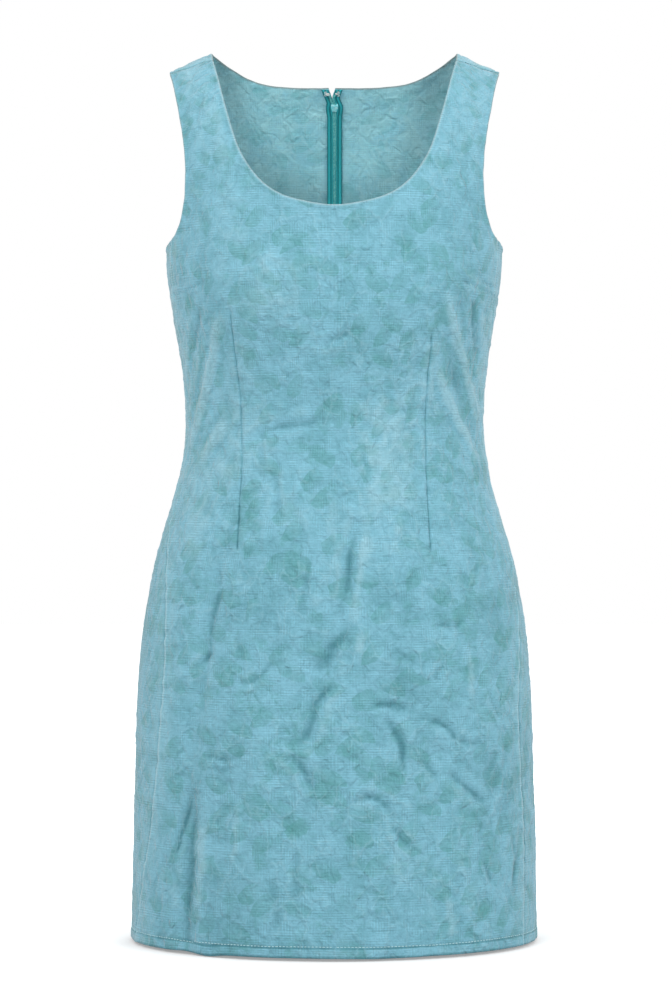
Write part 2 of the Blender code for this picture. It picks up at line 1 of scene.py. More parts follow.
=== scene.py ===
"""A sleeveless shift dress in washed, printed cotton, filled out as worn.

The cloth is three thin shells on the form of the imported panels, with creases, seams, darts,
a turned hem and rows of stitches. Metres, +Z up, the front towards -Y.
"""

import json
import logging
import math
from collections.abc import Callable
from dataclasses import dataclass, field
from enum import Enum
from typing import NamedTuple

import bmesh
import bpy
import numpy as np
from bpy.types import Material, Mesh, Node, NodeSocket, Object, Scene
from mathutils import Matrix, Vector
from mathutils.bvhtree import BVHTree
from mathutils.kdtree import KDTree

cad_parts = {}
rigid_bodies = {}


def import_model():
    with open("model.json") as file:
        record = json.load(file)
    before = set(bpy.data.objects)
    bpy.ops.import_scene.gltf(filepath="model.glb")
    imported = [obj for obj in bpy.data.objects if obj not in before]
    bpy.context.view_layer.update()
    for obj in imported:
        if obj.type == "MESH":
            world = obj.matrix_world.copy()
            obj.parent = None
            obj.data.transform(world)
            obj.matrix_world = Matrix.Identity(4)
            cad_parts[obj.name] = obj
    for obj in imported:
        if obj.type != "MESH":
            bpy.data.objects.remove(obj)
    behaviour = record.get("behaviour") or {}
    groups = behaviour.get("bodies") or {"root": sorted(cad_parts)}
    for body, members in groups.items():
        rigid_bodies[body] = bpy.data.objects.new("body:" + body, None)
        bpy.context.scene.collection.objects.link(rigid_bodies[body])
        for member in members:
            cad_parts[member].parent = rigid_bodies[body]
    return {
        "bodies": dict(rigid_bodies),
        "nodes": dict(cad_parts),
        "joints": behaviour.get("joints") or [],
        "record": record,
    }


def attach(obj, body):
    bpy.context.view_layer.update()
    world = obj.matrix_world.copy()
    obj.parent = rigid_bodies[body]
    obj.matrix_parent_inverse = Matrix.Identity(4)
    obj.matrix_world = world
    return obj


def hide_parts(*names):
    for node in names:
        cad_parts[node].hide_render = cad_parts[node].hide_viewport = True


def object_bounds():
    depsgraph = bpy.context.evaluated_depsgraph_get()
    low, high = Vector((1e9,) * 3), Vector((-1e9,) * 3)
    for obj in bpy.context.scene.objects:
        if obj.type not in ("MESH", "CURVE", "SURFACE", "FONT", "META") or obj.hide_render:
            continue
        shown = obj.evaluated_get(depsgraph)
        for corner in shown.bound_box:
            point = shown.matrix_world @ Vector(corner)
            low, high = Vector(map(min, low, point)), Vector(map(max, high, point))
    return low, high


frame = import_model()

CAD_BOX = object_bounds()
DRESS = "dress"
PULL_TAB = "pull_tab"
LOG = logging.getLogger("shift_dress")
Array = np.ndarray
Pair = tuple[float, float]
Place = tuple[float, float, float]
Value = NodeSocket | tuple | float


class Face(Enum):
    """Which half of the body a panel lies on."""

    FRONT = "front"
    BACK = "back"


class Side(Enum):
    """A half of the dress, by the sign of X."""

    LEFT = -1
    RIGHT = 1


def smooth(share: Array) -> Array:
    """A soft step from 0 to 1."""
    t = np.clip(share, 0, 1)
    return t * t * (3 - 2 * t)


def bell(away: Array, width: float) -> Array:
    """A soft bump of the given half width."""
    return np.exp(-((away / width) ** 2))


def bent(ends: Array, share: Array) -> Array:
    """Places on a line that starts at the first of three places and bends towards the second."""
    start, middle, end = ends
    return (1 - share) ** 2 * start + 2 * share * (1 - share) * middle + share**2 * end


def lengths_along(points: Array) -> Array:
    """How far each point of a line is from its start, along it."""
    return np.concatenate([[0], np.cumsum(np.linalg.norm(np.diff(points, axis=0), axis=1))])


def new_piece(name: str, points: list, faces: list) -> Object:
    """Makes a piece and puts it in the scene.

    Args:
        name: Its name.
        points: Arrays of points, joined in order.
        faces: The faces, by their points' numbers.

    Returns:
        The piece.
    """
    mesh = bpy.data.meshes.new(name)
    mesh.from_pydata(np.concatenate(points).tolist(), [], faces)
    piece = bpy.data.objects.new(name, mesh)
    bpy.context.scene.collection.objects.link(piece)
    return piece


def lay_flat(mesh: Mesh, places: Array) -> None:
    """Gives a mesh its UV map.

    Args:
        mesh: The mesh.
        places: Its points' places along the cloth, in metres.
    """
    corners = np.empty(len(mesh.loops), int)
    mesh.loops.foreach_get("vertex_index", corners)
    mesh.uv_layers.new(name="cloth").data.foreach_set("uv", places[corners].ravel())


def sewn(piece: Object) -> Object:
    """Makes a piece of cloth or thread ride on the dress.

    Args:
        piece: The piece.

    Returns:
        The same piece.
    """
    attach(piece, DRESS)
    return piece


# ---- the garment's form


class Table:
    """Rows with named columns, each read as a smooth curve over the first column."""

    def __init__(self, columns: str, rows: tuple) -> None:
        """Keeps the rows in rising order of their first column."""
        self.names = columns.split()
        self.rows = np.array(sorted(rows), float)

    def at(self, name: str, place: Array) -> Array:
        """Reads a column.

        Args:
            name: The column's name.
            place: Values of the first column.

        Returns:
            The column's value at each place.
        """
        knots = self.rows[:, 0]
        values = self.rows[:, self.names.index(name)]
        slopes = np.gradient(values, knots)
        place = np.clip(place, knots[0], knots[-1])
        i = np.clip(np.searchsorted(knots, place) - 1, 0, len(knots) - 2)
        span = knots[i + 1] - knots[i]
        t = (place - knots[i]) / span
        return (
            (2 * t**3 - 3 * t**2 + 1) * values[i]
            + (t**3 - 2 * t**2 + t) * span * slopes[i]
            + (3 * t**2 - 2 * t**3) * values[i + 1]
            + (t**3 - t**2) * span * slopes[i + 1]
        )


RINGS = Table(
    "height half_width front_depth back_depth squareness",
    (
        (0.000, 0.1700, 0.112, 0.100, 2.20), (-0.060, 0.1660, 0.113, 0.103, 2.20),
        (-0.120, 0.1625, 0.115, 0.106, 2.20), (-0.184, 0.1593, 0.118, 0.106, 2.20),
        (-0.210, 0.1576, 0.120, 0.105, 2.20), (-0.253, 0.1518, 0.118, 0.101, 2.15),
        (-0.287, 0.1461, 0.112, 0.096, 2.10), (-0.318, 0.1419, 0.106, 0.091, 2.10),
        (-0.348, 0.1401, 0.102, 0.089, 2.10), (-0.366, 0.1406, 0.102, 0.090, 2.10),
        (-0.392, 0.1442, 0.104, 0.094, 2.10), (-0.429, 0.1540, 0.109, 0.103, 2.10),
        (-0.479, 0.1685, 0.116, 0.114, 2.10), (-0.534, 0.1792, 0.121, 0.122, 2.10),
        (-0.593, 0.1849, 0.125, 0.127, 2.08), (-0.671, 0.1882, 0.129, 0.129, 2.05),
        (-0.757, 0.1896, 0.133, 0.129, 2.02), (-0.838, 0.1915, 0.137, 0.129, 2.00),
    ),
)

SEAMS = Table(
    "height left right",
    (
        (-0.180, 73.0, 73.0), (-0.230, 76.0, 72.5), (-0.270, 76.0, 75.5), (-0.310, 79.5, 79.0),
        (-0.370, 81.0, 80.5), (-0.430, 77.5, 80.0), (-0.466, 70.0, 78.5), (-0.508, 62.5, 76.0),
        (-0.563, 58.5, 70.0), (-0.620, 58.5, 66.0), (-0.685, 61.0, 67.0), (-0.740, 65.0, 68.5),
        (-0.785, 70.0, 68.0), (-0.838, 75.0, 66.0),
    ),
)

ZIP_OPENING = Table(
    "height half_gap",
    (
        (-0.0700, 0.00015), (-0.0500, 0.00015), (-0.0455, 0.00095), (-0.0400, 0.00095),
        (-0.0378, 0.00020), (-0.0336, 0.00020), (-0.0300, 0.00160), (-0.0262, 0.00330),
    ),
)

# Edges, half of each: the face, the distance from the centre line and the height
NECKLINE = (
    ("front", 0.0000, -0.1558), ("front", 0.0270, -0.1522), ("front", 0.0490, -0.1454),
    ("front", 0.0665, -0.1332), ("front", 0.0800, -0.1160), ("front", 0.0895, -0.0975),
    ("front", 0.0985, -0.0690), ("front", 0.1070, -0.0380), ("front", 0.1148, -0.0095),
    ("back", 0.1162, 0.0000), ("back", 0.1135, -0.0020), ("back", 0.1040, -0.0085),
    ("back", 0.0860, -0.0180), ("back", 0.0660, -0.0240), ("back", 0.0360, -0.0263),
    ("back", 0.0032, -0.0262),
)
ARMHOLE = (
    ("front", 0.1560, -0.0205), ("front", 0.1468, -0.0545), ("front", 0.1403, -0.0900),
    ("front", 0.1378, -0.1210), ("front", 0.1395, -0.1500), ("front", 0.1450, -0.1710),
    ("front", 0.1523, -0.1812), ("back", 0.1592, -0.1865), ("back", 0.1500, -0.1790),
    ("back", 0.1415, -0.1580), ("back", 0.1375, -0.1250), ("back", 0.1385, -0.0860),
    ("back", 0.1450, -0.0480), ("back", 0.1578, 0.0000),
)


class EdgeRows(NamedTuple):
    """The rows of a panel's neckline and armhole, with the rows of each start, corner and end."""

    neck: list
    neck_ends: tuple
    arm: list
    arm_ends: tuple


class Fullness(NamedTuple):
    """A soft rise on both sides of the centre line."""

    face: str
    across: float
    height: float
    reach_across: float
    reach_up: float
    rise: float


class Crease(NamedTuple):
    """A line bent over three places across and up, its half width, and its rise or fall."""

    face: str
    ends: tuple
    width: float
    rise: float


FULLNESS = (
    Fullness("front", 0.088, -0.238, 0.050, 0.058, 0.0060),
    Fullness("back", 0.075, -0.150, 0.045, 0.060, 0.0020),
)


def creases(face: str, *rows: tuple) -> tuple[Crease, ...]:
    """Creases of one face.

    Args:
        face: front or back.
        rows: Three places across and up in mm, then the half width and the rise in tenths of a mm.

    Returns:
        The creases.
    """
    made = []
    for *spots, width, rise in rows:
        ends = tuple((x / 1000, z / 1000) for x, z in zip(spots[::2], spots[1::2]))
        made.append(Crease(face, ends, width / 10000, rise / 10000))
    return tuple(made)


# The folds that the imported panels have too
FOLDS = (*creases(
    "front",
    (-101, -467, -117, -590, -146, -736, 130, -50), (-131, -690, -136, -770, -139, -850, 120, -50),
    (22, -440, 4, -540, -36, -655, 140, -45), (88, -640, 80, -740, 98, -850, 180, -30),
    (-70, -600, -60, -730, -75, -850, 200, 30),
), *creases(
    "back",
    (62, -470, 78, -620, 90, -850, 180, -45), (-58, -450, -70, -620, -98, -850, 160, -50),
    (120, -520, 130, -680, 128, -850, 160, 35), (-18, -600, -24, -720, -34, -850, 200, 30),
))


@dataclass(frozen=True)
class GarmentForm:
    """The surface that the cloth lies on, in turn round the body and run down the cloth.

    A turn is 0 at the centre front and pi at the centre back. A run starts at the shoulder's
    ridge, and below 0 it is over the ridge, on the other face.
    """

    hem_height: float = -0.838
    roll_depth: float = 0.170
    roll_power: float = 1.3
    shoulder_slope: float = 0.500
    neck_point: float = 0.1162
    ridge_softness: float = 0.010
    slope_reach: float = 0.240
    shoulder_zone: float = -0.060
    girth_radius: float = 0.150

    @property
    def hem_run(self) -> float:
        """The run at the hem."""
        return self.roll_depth * (math.pi / 2 - 1) - self.hem_height

    def run_at(self, height: Array) -> Array:
        """The run of a height well below the shoulder's roll."""
        return self.hem_run + self.hem_height - height

    def ridge_height(self, across: Array) -> Array:
        """The height of the shoulder's ridge at a distance from the centre."""
        past = np.abs(across) - self.neck_point
        soft = self.ridge_softness
        return -self.shoulder_slope * 0.5 * (past + np.sqrt(past**2 + soft**2) - soft)

    def drop(self, run: Array) -> Array:
        """How far the cloth is below the ridge."""
        turned = np.minimum(run / self.roll_depth, math.pi / 2)
        return self.roll_depth * (1 - np.cos(turned)) + run - self.roll_depth * turned

    def height_at(self, across: Array, run: Array) -> Array:
        """The height of a place given by its distance from the centre and its run."""
        return self.ridge_height(across) * (1 - smooth(run / self.slope_reach)) - self.drop(run)

    def point(self, turn: Array, run: Array) -> Array:
        """Points of the bare form, for the half of the body at +X.

        Args:
            turn: Turns round the body.
            run: Runs down the cloth.

        Returns:
            The points.
        """
        over = run < 0
        turn = np.where(over, math.pi - turn, turn)
        run = np.abs(run)
        height = -self.drop(run)
        for _ in range(6):
            power = 2 / RINGS.at("squareness", height)
            sine = np.sin(turn)
            across = RINGS.at("half_width", height) * np.sign(sine) * np.abs(sine) ** power
            height = self.height_at(across, run)
        facing = np.cos(turn)
        front, back = RINGS.at("front_depth", height), RINGS.at("back_depth", height)
        roll = np.sin(np.minimum(run / self.roll_depth, math.pi / 2)) ** self.roll_power
        forward = np.sign(facing) * np.abs(facing) ** power * np.where(facing > 0, front, back)
        return np.stack([across, -forward * roll, height], axis=-1)

    def place_of(self, face: str, across: float, height: float) -> Pair:
        """Finds a place on the form.

        Args:
            face: front or back.
            across: Its distance from the centre line.
            height: Its height.

        Returns:
            Its turn and its run.
        """
        low, high = 0.0, 1.2
        for _ in range(40):
            run = (low + high) / 2
            low, high = (run, high) if self.height_at(across, run) > height else (low, run)
        turn = float(self.turn_across(abs(across), self.height_at(across, run)))
        return (turn if face == "front" else math.pi - turn), run

    def turn_across(self, across: Array, heights: Array) -> Array:
        """The turn from the nearer centre line of places this far across."""
        share = np.clip(across / RINGS.at("half_width", heights), 0, 1)
        return np.arcsin(share ** (RINGS.at("squareness", heights) / 2))

    def around(self, face: str, across: float, height: float) -> float:
        """A place's signed distance round the body from the centre front."""
        return math.copysign(self.place_of(face, across, height)[0], across) * self.girth_radius

    def home_place(self, home: str, face: str, across: float, height: float) -> tuple:
        """A place as a panel has it.

        Args:
            home: The panel's face.
            face: The place's face.
            across: Its distance from the centre line.
            height: Its height.

        Returns:
            The angle from the panel's own centre line, and the run.
        """
        turn, run = self.place_of(face, across, height)
        from_centre = turn if home == "front" else math.pi - turn
        if face != home and height > self.shoulder_zone:
            return math.pi - from_centre, -run
        return math.copysign(from_centre, across), run

    def edge_rows(self, home: str) -> EdgeRows:
        """A panel's neckline from its centre line up, and its armhole from the shoulder down.

        Args:
            home: The panel's face.

        Returns:
            The rows of both.
        """
        if home == "front":
            face, across, height = NECKLINE[1]
            neck, arm = [(face, -across, height), *NECKLINE[:10]], [ARMHOLE[-1], *ARMHOLE[:8]]
            neck_ends, arm_ends = (1, 5, 9), (1, 6, 7)
        else:
            neck, arm = NECKLINE[:6:-1], [ARMHOLE[1], ARMHOLE[0], *ARMHOLE[:4:-1]]
            neck_ends, arm_ends = (0, 4, 7), (1, 7, 9)
        neck, arm = ([self.home_place(home, *row) for row in rows] for rows in (neck, arm))
        return EdgeRows(neck, neck_ends, arm, arm_ends)


FORM = GarmentForm()


# The lean of the zip's top: how far it goes, the height where it starts, the height that it takes,
# and how far from the centre line it ends and fades
LEAN_SHIFT, LEAN_FOOT, LEAN_RISE, LEAN_REACH, LEAN_FADE = 0.0025, -0.0410, 0.0080, 0.060, 0.045


def leaned(points: Array) -> Array:
    """Draws the top of the zip towards -X.

    Args:
        points: Points of the whole dress.

    Returns:
        The moved points.
    """
    high = smooth((points[..., 2] - LEAN_FOOT) / LEAN_RISE)
    near = smooth((LEAN_REACH - np.abs(points[..., 0])) / LEAN_FADE) * (points[..., 1] > 0)
    moved = points.copy()
    moved[..., 0] -= LEAN_SHIFT * high * near
    return moved


def even_edge(places: list, first: int, last: int, count: int) -> Array:
    """Evenly spaced places from one row to another of a smooth curve through all the rows.

    Args:
        places: The rows.
        first: The row to start from.
        last: The row to end at.
        count: How many steps to take.

    Returns:
        The places.
    """
    samples = 20
    rows = np.array(places)
    padded = np.vstack([2 * rows[0] - rows[1], rows, 2 * rows[-1] - rows[-2]])
    curve = []
    for i in range(first, last):
        a, b, c, d = padded[i : i + 4]
        for t in np.arange(samples) / samples:
            pull = (c - a) * t + (2 * a - 5 * b + 4 * c - d) * t**2
            curve.append(b + (pull + (3 * b - a - 3 * c + d) * t**3) / 2)
    curve = np.array([*curve, rows[last]])
    length = lengths_along(FORM.point(curve[:, 0], curve[:, 1]))
    even = np.linspace(0, length[-1], count + 1)
    return np.stack([np.interp(even, length, curve[:, k]) for k in (0, 1)], axis=-1)


def at_share(edge: Array, share: Array) -> Array:
    """Places at shares of the way along an edge's list of places."""
    knots = np.linspace(0, 1, len(edge))
    return np.stack([np.interp(share, knots, edge[:, k]) for k in (0, 1)], axis=-1)


def patch(edges: tuple, u: Array, v: Array) -> Array:
    """Fills four edges.

    Args:
        edges: The bottom, top, left and right edges, as lists of places.
        u: The share of the way across, for each place.
        v: The share of the way up, for each place.

    Returns:
        The places.
    """
    bottom, top, left, right = edges
    a, b = u[..., None], v[..., None]
    corners = (1 - b) * ((1 - a) * bottom[0] + a * bottom[-1])
    corners += b * ((1 - a) * top[0] + a * top[-1])
    between = (1 - b) * at_share(bottom, u) + b * at_share(top, u)
    return between + (1 - a) * at_share(left, v) + a * at_share(right, v) - corners


# ---- creases


class LatticeNoise:
    """Smooth two-dimensional noise from a seeded lattice, between -1 and 1."""

    size = 256

    def __init__(self, seed: int) -> None:
        """Draws the lattice's values."""
        self.values = np.random.default_rng(seed).uniform(-1, 1, (self.size, self.size))

    def at(self, x: Array, y: Array, pitch: float) -> Array:
        """Noise at places.

        Args:
            x: Places across.
            y: Places up.
            pitch: The lattice's pitch.

        Returns:
            The noise.
        """
        px, py = x / pitch + 500.0, y / pitch + 500.0
        i, j = np.floor(px).astype(int), np.floor(py).astype(int)
        fx, fy = smooth(px - i), smooth(py - j)
        i, j, k, m = i % self.size, j % self.size, (i + 1) % self.size, (j + 1) % self.size
        low = self.values[i, j] * (1 - fx) + self.values[k, j] * fx
        high = self.values[i, m] * (1 - fx) + self.values[k, m] * fx
        return low * (1 - fy) + high * fy

    def crumple(self, x: Array, y: Array, pitch: float) -> Array:
        """Sharp-edged noise like crushed cloth.

        Args:
            x: Places across.
            y: Places up.
            pitch: The size of the facets.

        Returns:
            The noise, from 0 in the middle of facets to 1 on ridges.
        """
        warp_x = x + pitch * 0.5 * self.at(x + 3.1, y, pitch * 1.7)
        warp_y = y + pitch * 0.5 * self.at(x, y + 7.7, pitch * 1.7)
        first = 1 - np.abs(self.at(warp_x, warp_y, pitch))
        second = 1 - np.abs(self.at(warp_y * 1.3 + 1.0, warp_x * 1.3, pitch))
        return np.maximum(first, second) ** 5


class Ridge(NamedTuple):
    """A soft ridge or groove beside a line: its rise, its distance from it and its half width."""

    rise: float
    place: float
    width: float

    def at(self, away: Array) -> Array:
        """The rise at distances from the line."""
        return self.rise * bell(away - self.place, self.width)


# Creases placed one by one, skirt first
CREASES = (*creases(
    "front",
    # skirt, left of the middle
    (-136, -694, -139, -723, -148, -752, 50, -28), (-128, -690, -133, -750, -139, -838, 70, -20),
    (-117, -680, -122, -765, -123, -838, 80, 11), (-112, -563, -122, -572, -131, -580, 35, -14),
    (-103, -480, -112, -540, -123, -612, 50, -13), (-118, -656, -99, -663, -76, -657, 35, -13),
    (-110, -667, -94, -671, -82, -664, 30, -10), (-58, -572, -67, -594, -89, -591, 40, -16),
    (-90, -700, -85, -730, -94, -760, 50, 10), (-60, -770, -50, -790, -52, -815, 45, -10),
    (-36, -740, -30, -760, -39, -790, 45, -12),
    # the long diagonal from the waist to the lap
    (21, -438, 14, -474, 10, -513, 50, -20), (11, -505, -2, -561, -36, -652, 90, -8),
    (18, -537, 5, -552, -14, -581, 58, -20), (-5, -590, -10, -603, -20, -610, 50, -24),
    (-18, -608, -17, -635, -38, -651, 55, -19), (-38, -655, -30, -668, -15, -690, 55, -21),
    (30, -455, 25, -500, 14, -540, 60, 12), (15, -551, 11, -562, 14, -575, 35, -13),
    (-20, -470, -30, -500, -26, -530, 45, -10),
    # the lap, right of the middle
    (32, -611, 48, -607, 64, -616, 42, -18), (50, -624, 62, -642, 63, -672, 46, -24),
    (76, -624, 104, -626, 112, -642, 40, -18), (106, -638, 120, -650, 136, -645, 42, -16),
    (76, -661, 85, -666, 94, -675, 32, -11), (103, -673, 120, -686, 139, -704, 46, -22),
    (19, -699, 36, -682, 59, -716, 46, -22), (51, -716, 60, -732, 74, -746, 44, -20),
    (30, -660, 40, -674, 34, -690, 40, 10), (95, -534, 108, -547, 121, -531, 45, -17),
    (88, -589, 94, -579, 103, -570, 40, -15), (120, -560, 126, -590, 122, -616, 50, 12),
    (141, -598, 145, -609, 151, -627, 40, -13),
    # towards the hem, right
    (137, -754, 140, -762, 145, -774, 34, -18), (164, -735, 171, -768, 159, -800, 36, -13),
    (174, -740, 163, -767, 169, -798, 36, -12), (100, -780, 108, -800, 104, -826, 50, 10),
    # chest and waist
    (-25, -284, 0, -284, 28, -263, 48, -15), (-73, -367, -50, -354, -7, -352, 55, -18),
    (-101, -250, -116, -322, -135, -376, 85, 26), (-100, -352, -112, -371, -124, -389, 75, 20),
    (97, -230, 113, -290, 134, -352, 85, 28), (93, -300, 108, -341, 137, -396, 75, 22),
    (125, -236, 128, -266, 134, -296, 85, -22), (-119, -240, -127, -270, -133, -304, 85, -16),
    (20, -375, 34, -392, 31, -412, 40, -10), (-40, -300, -48, -320, -40, -345, 45, -9),
    (45, -310, 56, -330, 52, -352, 45, -9), (-60, -400, -48, -420, -52, -446, 45, -11),
    # the pull of the bust darts and the armholes
    (136, -221, 144, -226, 154, -225, 28, -16), (112, -206, 122, -220, 134, -226, 34, 12),
    (-155, -222, -146, -224, -134, -219, 30, -10),
), *creases(
    "back",
    # the back: the waist, the seat and the hem
    (-110, -330, -70, -345, -20, -338, 60, -22), (118, -352, 80, -362, 22, -350, 60, -22),
    (-90, -372, -50, -382, -18, -372, 50, -16), (30, -318, 60, -324, 98, -312, 50, -15),
    (-130, -480, -122, -540, -134, -600, 60, 16), (105, -455, 112, -520, 104, -590, 55, -17),
    (-62, -560, -80, -640, -90, -720, 55, -19), (40, -610, 62, -640, 82, -632, 40, -15),
    (-30, -655, -58, -668, -92, -655, 40, -15), (20, -700, 44, -728, 60, -770, 45, -16),
    (110, -700, 120, -750, 112, -810, 50, -16), (-120, -700, -130, -760, -126, -838, 55, -18),
    (-45, -760, -40, -790, -50, -838, 50, 14), (60, -170, 85, -210, 118, -240, 60, -14),
    (-60, -180, -84, -222, -112, -262, 60, -14), (-100, -120, -85, -150, -80, -190, 50, 12),
    (160, -560, 168, -640, 164, -730, 60, -18), (-166, -590, -172, -660, -168, -760, 60, -18),
    (176, -740, 178, -790, 174, -838, 50, -14),
))


@dataclass
class Creasing:
    """How far the cloth stands off the bare form, by place."""

    seed: int = 41
    small_count: int = 170
    small_length: Pair = (0.010, 0.042)
    small_width: Pair = (0.0023, 0.0043)
    small_rise: Pair = (0.0002, 0.0006)
    steps: int = 48
    crumple_pitch: float = 0.021
    crumple_rise: float = 0.00100
    fine_pitch: float = 0.0095
    fine_rise: float = 0.00055
    wander: float = 0.0022
    sharp: float = 0.8
    reach: float = 4.5
    lip: Ridge = Ridge(0.35, 2.0, 0.9)
    noise: LatticeNoise = LatticeNoise(11)

    def line(self, around: Array, height: Array, ends: Array) -> tuple:
        """The nearest distance to a bent line, and how full the line is there.

        Args:
            around: Distances round the body.
            height: Heights.
            ends: The line's three places, as rows of a distance round the body and a height.

        Returns:
            The squared distance and the fullness of each place.
        """
        nearest = np.full(np.shape(around), np.inf)
        taper = np.zeros(np.shape(around))
        for t in np.linspace(0, 1, self.steps + 1):
            spot = bent(ends, t)
            away = (around - spot[0]) ** 2 + (height - spot[1]) ** 2
            closer = away < nearest
            nearest = np.where(closer, away, nearest)
            taper = np.where(closer, math.sin(math.pi * t) ** 0.5, taper)
        return nearest, taper

    def folds(self, around: Array, height: Array) -> Array:
        """The largest folds and the darts' fullness.

        Args:
            around: Distances round the body.
            height: Heights.

        Returns:
            The rise.
        """
        rise = np.zeros(np.shape(around))
        for part in FULLNESS:
            centre = FORM.around(part.face, part.across, part.height)
            away_across = (np.abs(around) - centre) / part.reach_across
            away_up = (height - part.height) / part.reach_up
            rise += part.rise * np.exp(-(away_across**2) - away_up**2)
        for fold in FOLDS:
            nearest, taper = self.line(around, height, self.ends_of(fold))
            rise += fold.rise * taper * np.exp(-nearest / fold.width**2)
        return rise

    def ends_of(self, crease: Crease) -> Array:
        """A crease's three places, round the body and up."""
        return np.array([(FORM.around(crease.face, x, z), z) for x, z in crease.ends])

    def small_creases(self) -> list[tuple[Array, float, float]]:
        """Short creases all over, most of them across the lap and the seat.

        Returns:
            Each crease's three places, its half width and its rise.
        """
        random = np.random.default_rng(self.seed)
        girth = math.pi * FORM.girth_radius
        made = []
        for _ in range(self.small_count):
            centre = np.array([random.uniform(-girth, girth), random.beta(1.5, 1.9) * -0.72 - 0.10])
            reach = random.uniform(*self.small_length)
            angle = random.normal(0.0, 0.9) + (math.pi / 2 if random.random() < 0.45 else 0)
            along = np.array([math.cos(angle), math.sin(angle)]) * reach / 2
            bend = np.array([-along[1], along[0]]) * random.uniform(-0.7, 0.7)
            ends = np.array([centre - along, centre + bend, centre + along])
            rise = random.uniform(*self.small_rise) * (-1 if random.random() < 0.55 else 1)
            made.append((ends, random.uniform(*self.small_width), rise))
        return made

    def creases(self, around: Array, height: Array) -> Array:
        """Troughs between soft ridges, and the crumple all over.

        Args:
            around: Distances round the body.
            height: Heights.

        Returns:
            The rise.
        """
        x = around + self.wander * self.noise.at(around, height, 0.019)
        y = height + self.wander * self.noise.at(around + 2.0, height + 1.0, 0.017)
        rise = np.zeros(np.shape(around))
        placed = [(self.ends_of(crease), self.sharp * crease.width, crease.rise) for crease in CREASES]
        for ends, width, height_out in placed + self.small_creases():
            reach = self.reach * width
            low, high = ends.min(0) - reach, ends.max(0) + reach
            near = (x > low[0]) & (x < high[0]) & (y > low[1]) & (y < high[1])
            if not near.any():
                continue
            nearest, taper = self.line(x[near], y[near], ends)
            away = np.sqrt(nearest) / width
            trough = np.exp(-1.1 * (away**2 + 0.02) ** 0.7)
            rise[near] += height_out * taper * (trough - self.lip.at(away))
        patches = 0.65 + 0.35 * self.noise.at(around + 5.0, height, 0.06)
        broad = self.noise.crumple(around, height * 0.85, self.crumple_pitch)
        fine = self.noise.crumple(around + 9.0, height, self.fine_pitch)
        rise += patches * (self.crumple_rise * broad + self.fine_rise * fine)
        return rise + 0.0007 * self.noise.at(around, height * 0.6, 0.045)


# ---- the panels' cloth

# The long darts: the height, and the distance from the centre line of each
DARTS = Table(
    "height front_left front_right back",
    (
        (-0.250, 0.0925, 0.0880, 0.0790), (-0.288, 0.0900, 0.0862, 0.0775),
        (-0.328, 0.0860, 0.0838, 0.0752), (-0.360, 0.0850, 0.0835, 0.0745),
        (-0.392, 0.0850, 0.0840, 0.0750), (-0.425, 0.0870, 0.0855, 0.0772),
        (-0.470, 0.0892, 0.0880, 0.0800),
    ),
)
# The bust dart's line: distances from the centre line and heights
BUST_DART = ((0.1150, -0.2225), (0.1380, -0.2300), (0.1600, -0.2345))
DART_SPAN = {Face.FRONT: (-0.486, -0.254), Face.BACK: (-0.455, -0.275)}
# How much higher the front's left dart starts
DART_LIFT = 0.016
# Dips of the shoulders and of the hem: the place across, the half width and the drop
SHOULDER_DIPS = ((0.137, 0.011, 0.0021), (0.1165, 0.005, 0.0008))
HEM_DIPS = ((-0.116, 0.012, 0.0020), (-0.139, 0.009, -0.0005), (0.040, 0.030, 0.0006))
# Where the shoulders' outer corners are held in, and how softly
SHOULDER_END, CORNER_ROUND = 0.1545, 0.0015


def settled(points: Array) -> Array:
    """Gives the cloth straight shoulders, blunt outer corners and an uneven hem.

    Args:
        points: Points of the cloth.

    Returns:
        The moved points.
    """
    x, height = points[..., 0], points[..., 2]
    wide, moved = np.abs(x), points.copy()
    high = smooth((height + 0.075) / 0.030)
    for place, width, drop in SHOULDER_DIPS:
        moved[..., 2] -= high * drop * bell(wide - place, width)
    spare = np.maximum(wide - SHOULDER_END, 0) * high
    moved[..., 0] -= np.sign(x) * (spare - CORNER_ROUND * np.tanh(spare / CORNER_ROUND))
    low = smooth((-0.785 - height) / 0.045) * (points[..., 1] < 0)
    for place, width, drop in HEM_DIPS:
        moved[..., 2] -= low * drop * bell(x - place, width)
    return moved


def graded(start: float, end: float, even: float, marks: tuple, tight: float) -> Array:
    """An even number of steps from one end to the other, shorter near marks.

    Args:
        start: The first place.
        end: The last place.
        even: The step away from the marks.
        marks: The places where the steps are short.
        tight: The step there.

    Returns:
        The places.
    """
    steps = [start]
    while steps[-1] < end - tight / 2:
        nearest = min((abs(steps[-1] - mark) for mark in marks), default=10.0)
        steps.append(steps[-1] + even - (even - tight) * math.exp(-((nearest / (1.6 * even)) ** 2)))
    steps = np.array(steps)
    steps = start + (steps - start) * (end - start) / (steps[-1] - start)
    count = 2 * round(len(steps) / 2)
    return np.interp(np.linspace(0, len(steps) - 1, count + 1), np.arange(len(steps)), steps)


def distance_to(points: Array, line: Array) -> Array:
    """How far points are from a line.

    Args:
        points: The points.
        line: Dense points of the line.

    Returns:
        The distances.
    """
    tree = KDTree(len(line))
    for i, spot in enumerate(line):
        tree.insert(spot, i)
    tree.balance()
    return np.array([tree.find(point)[2] for point in points])


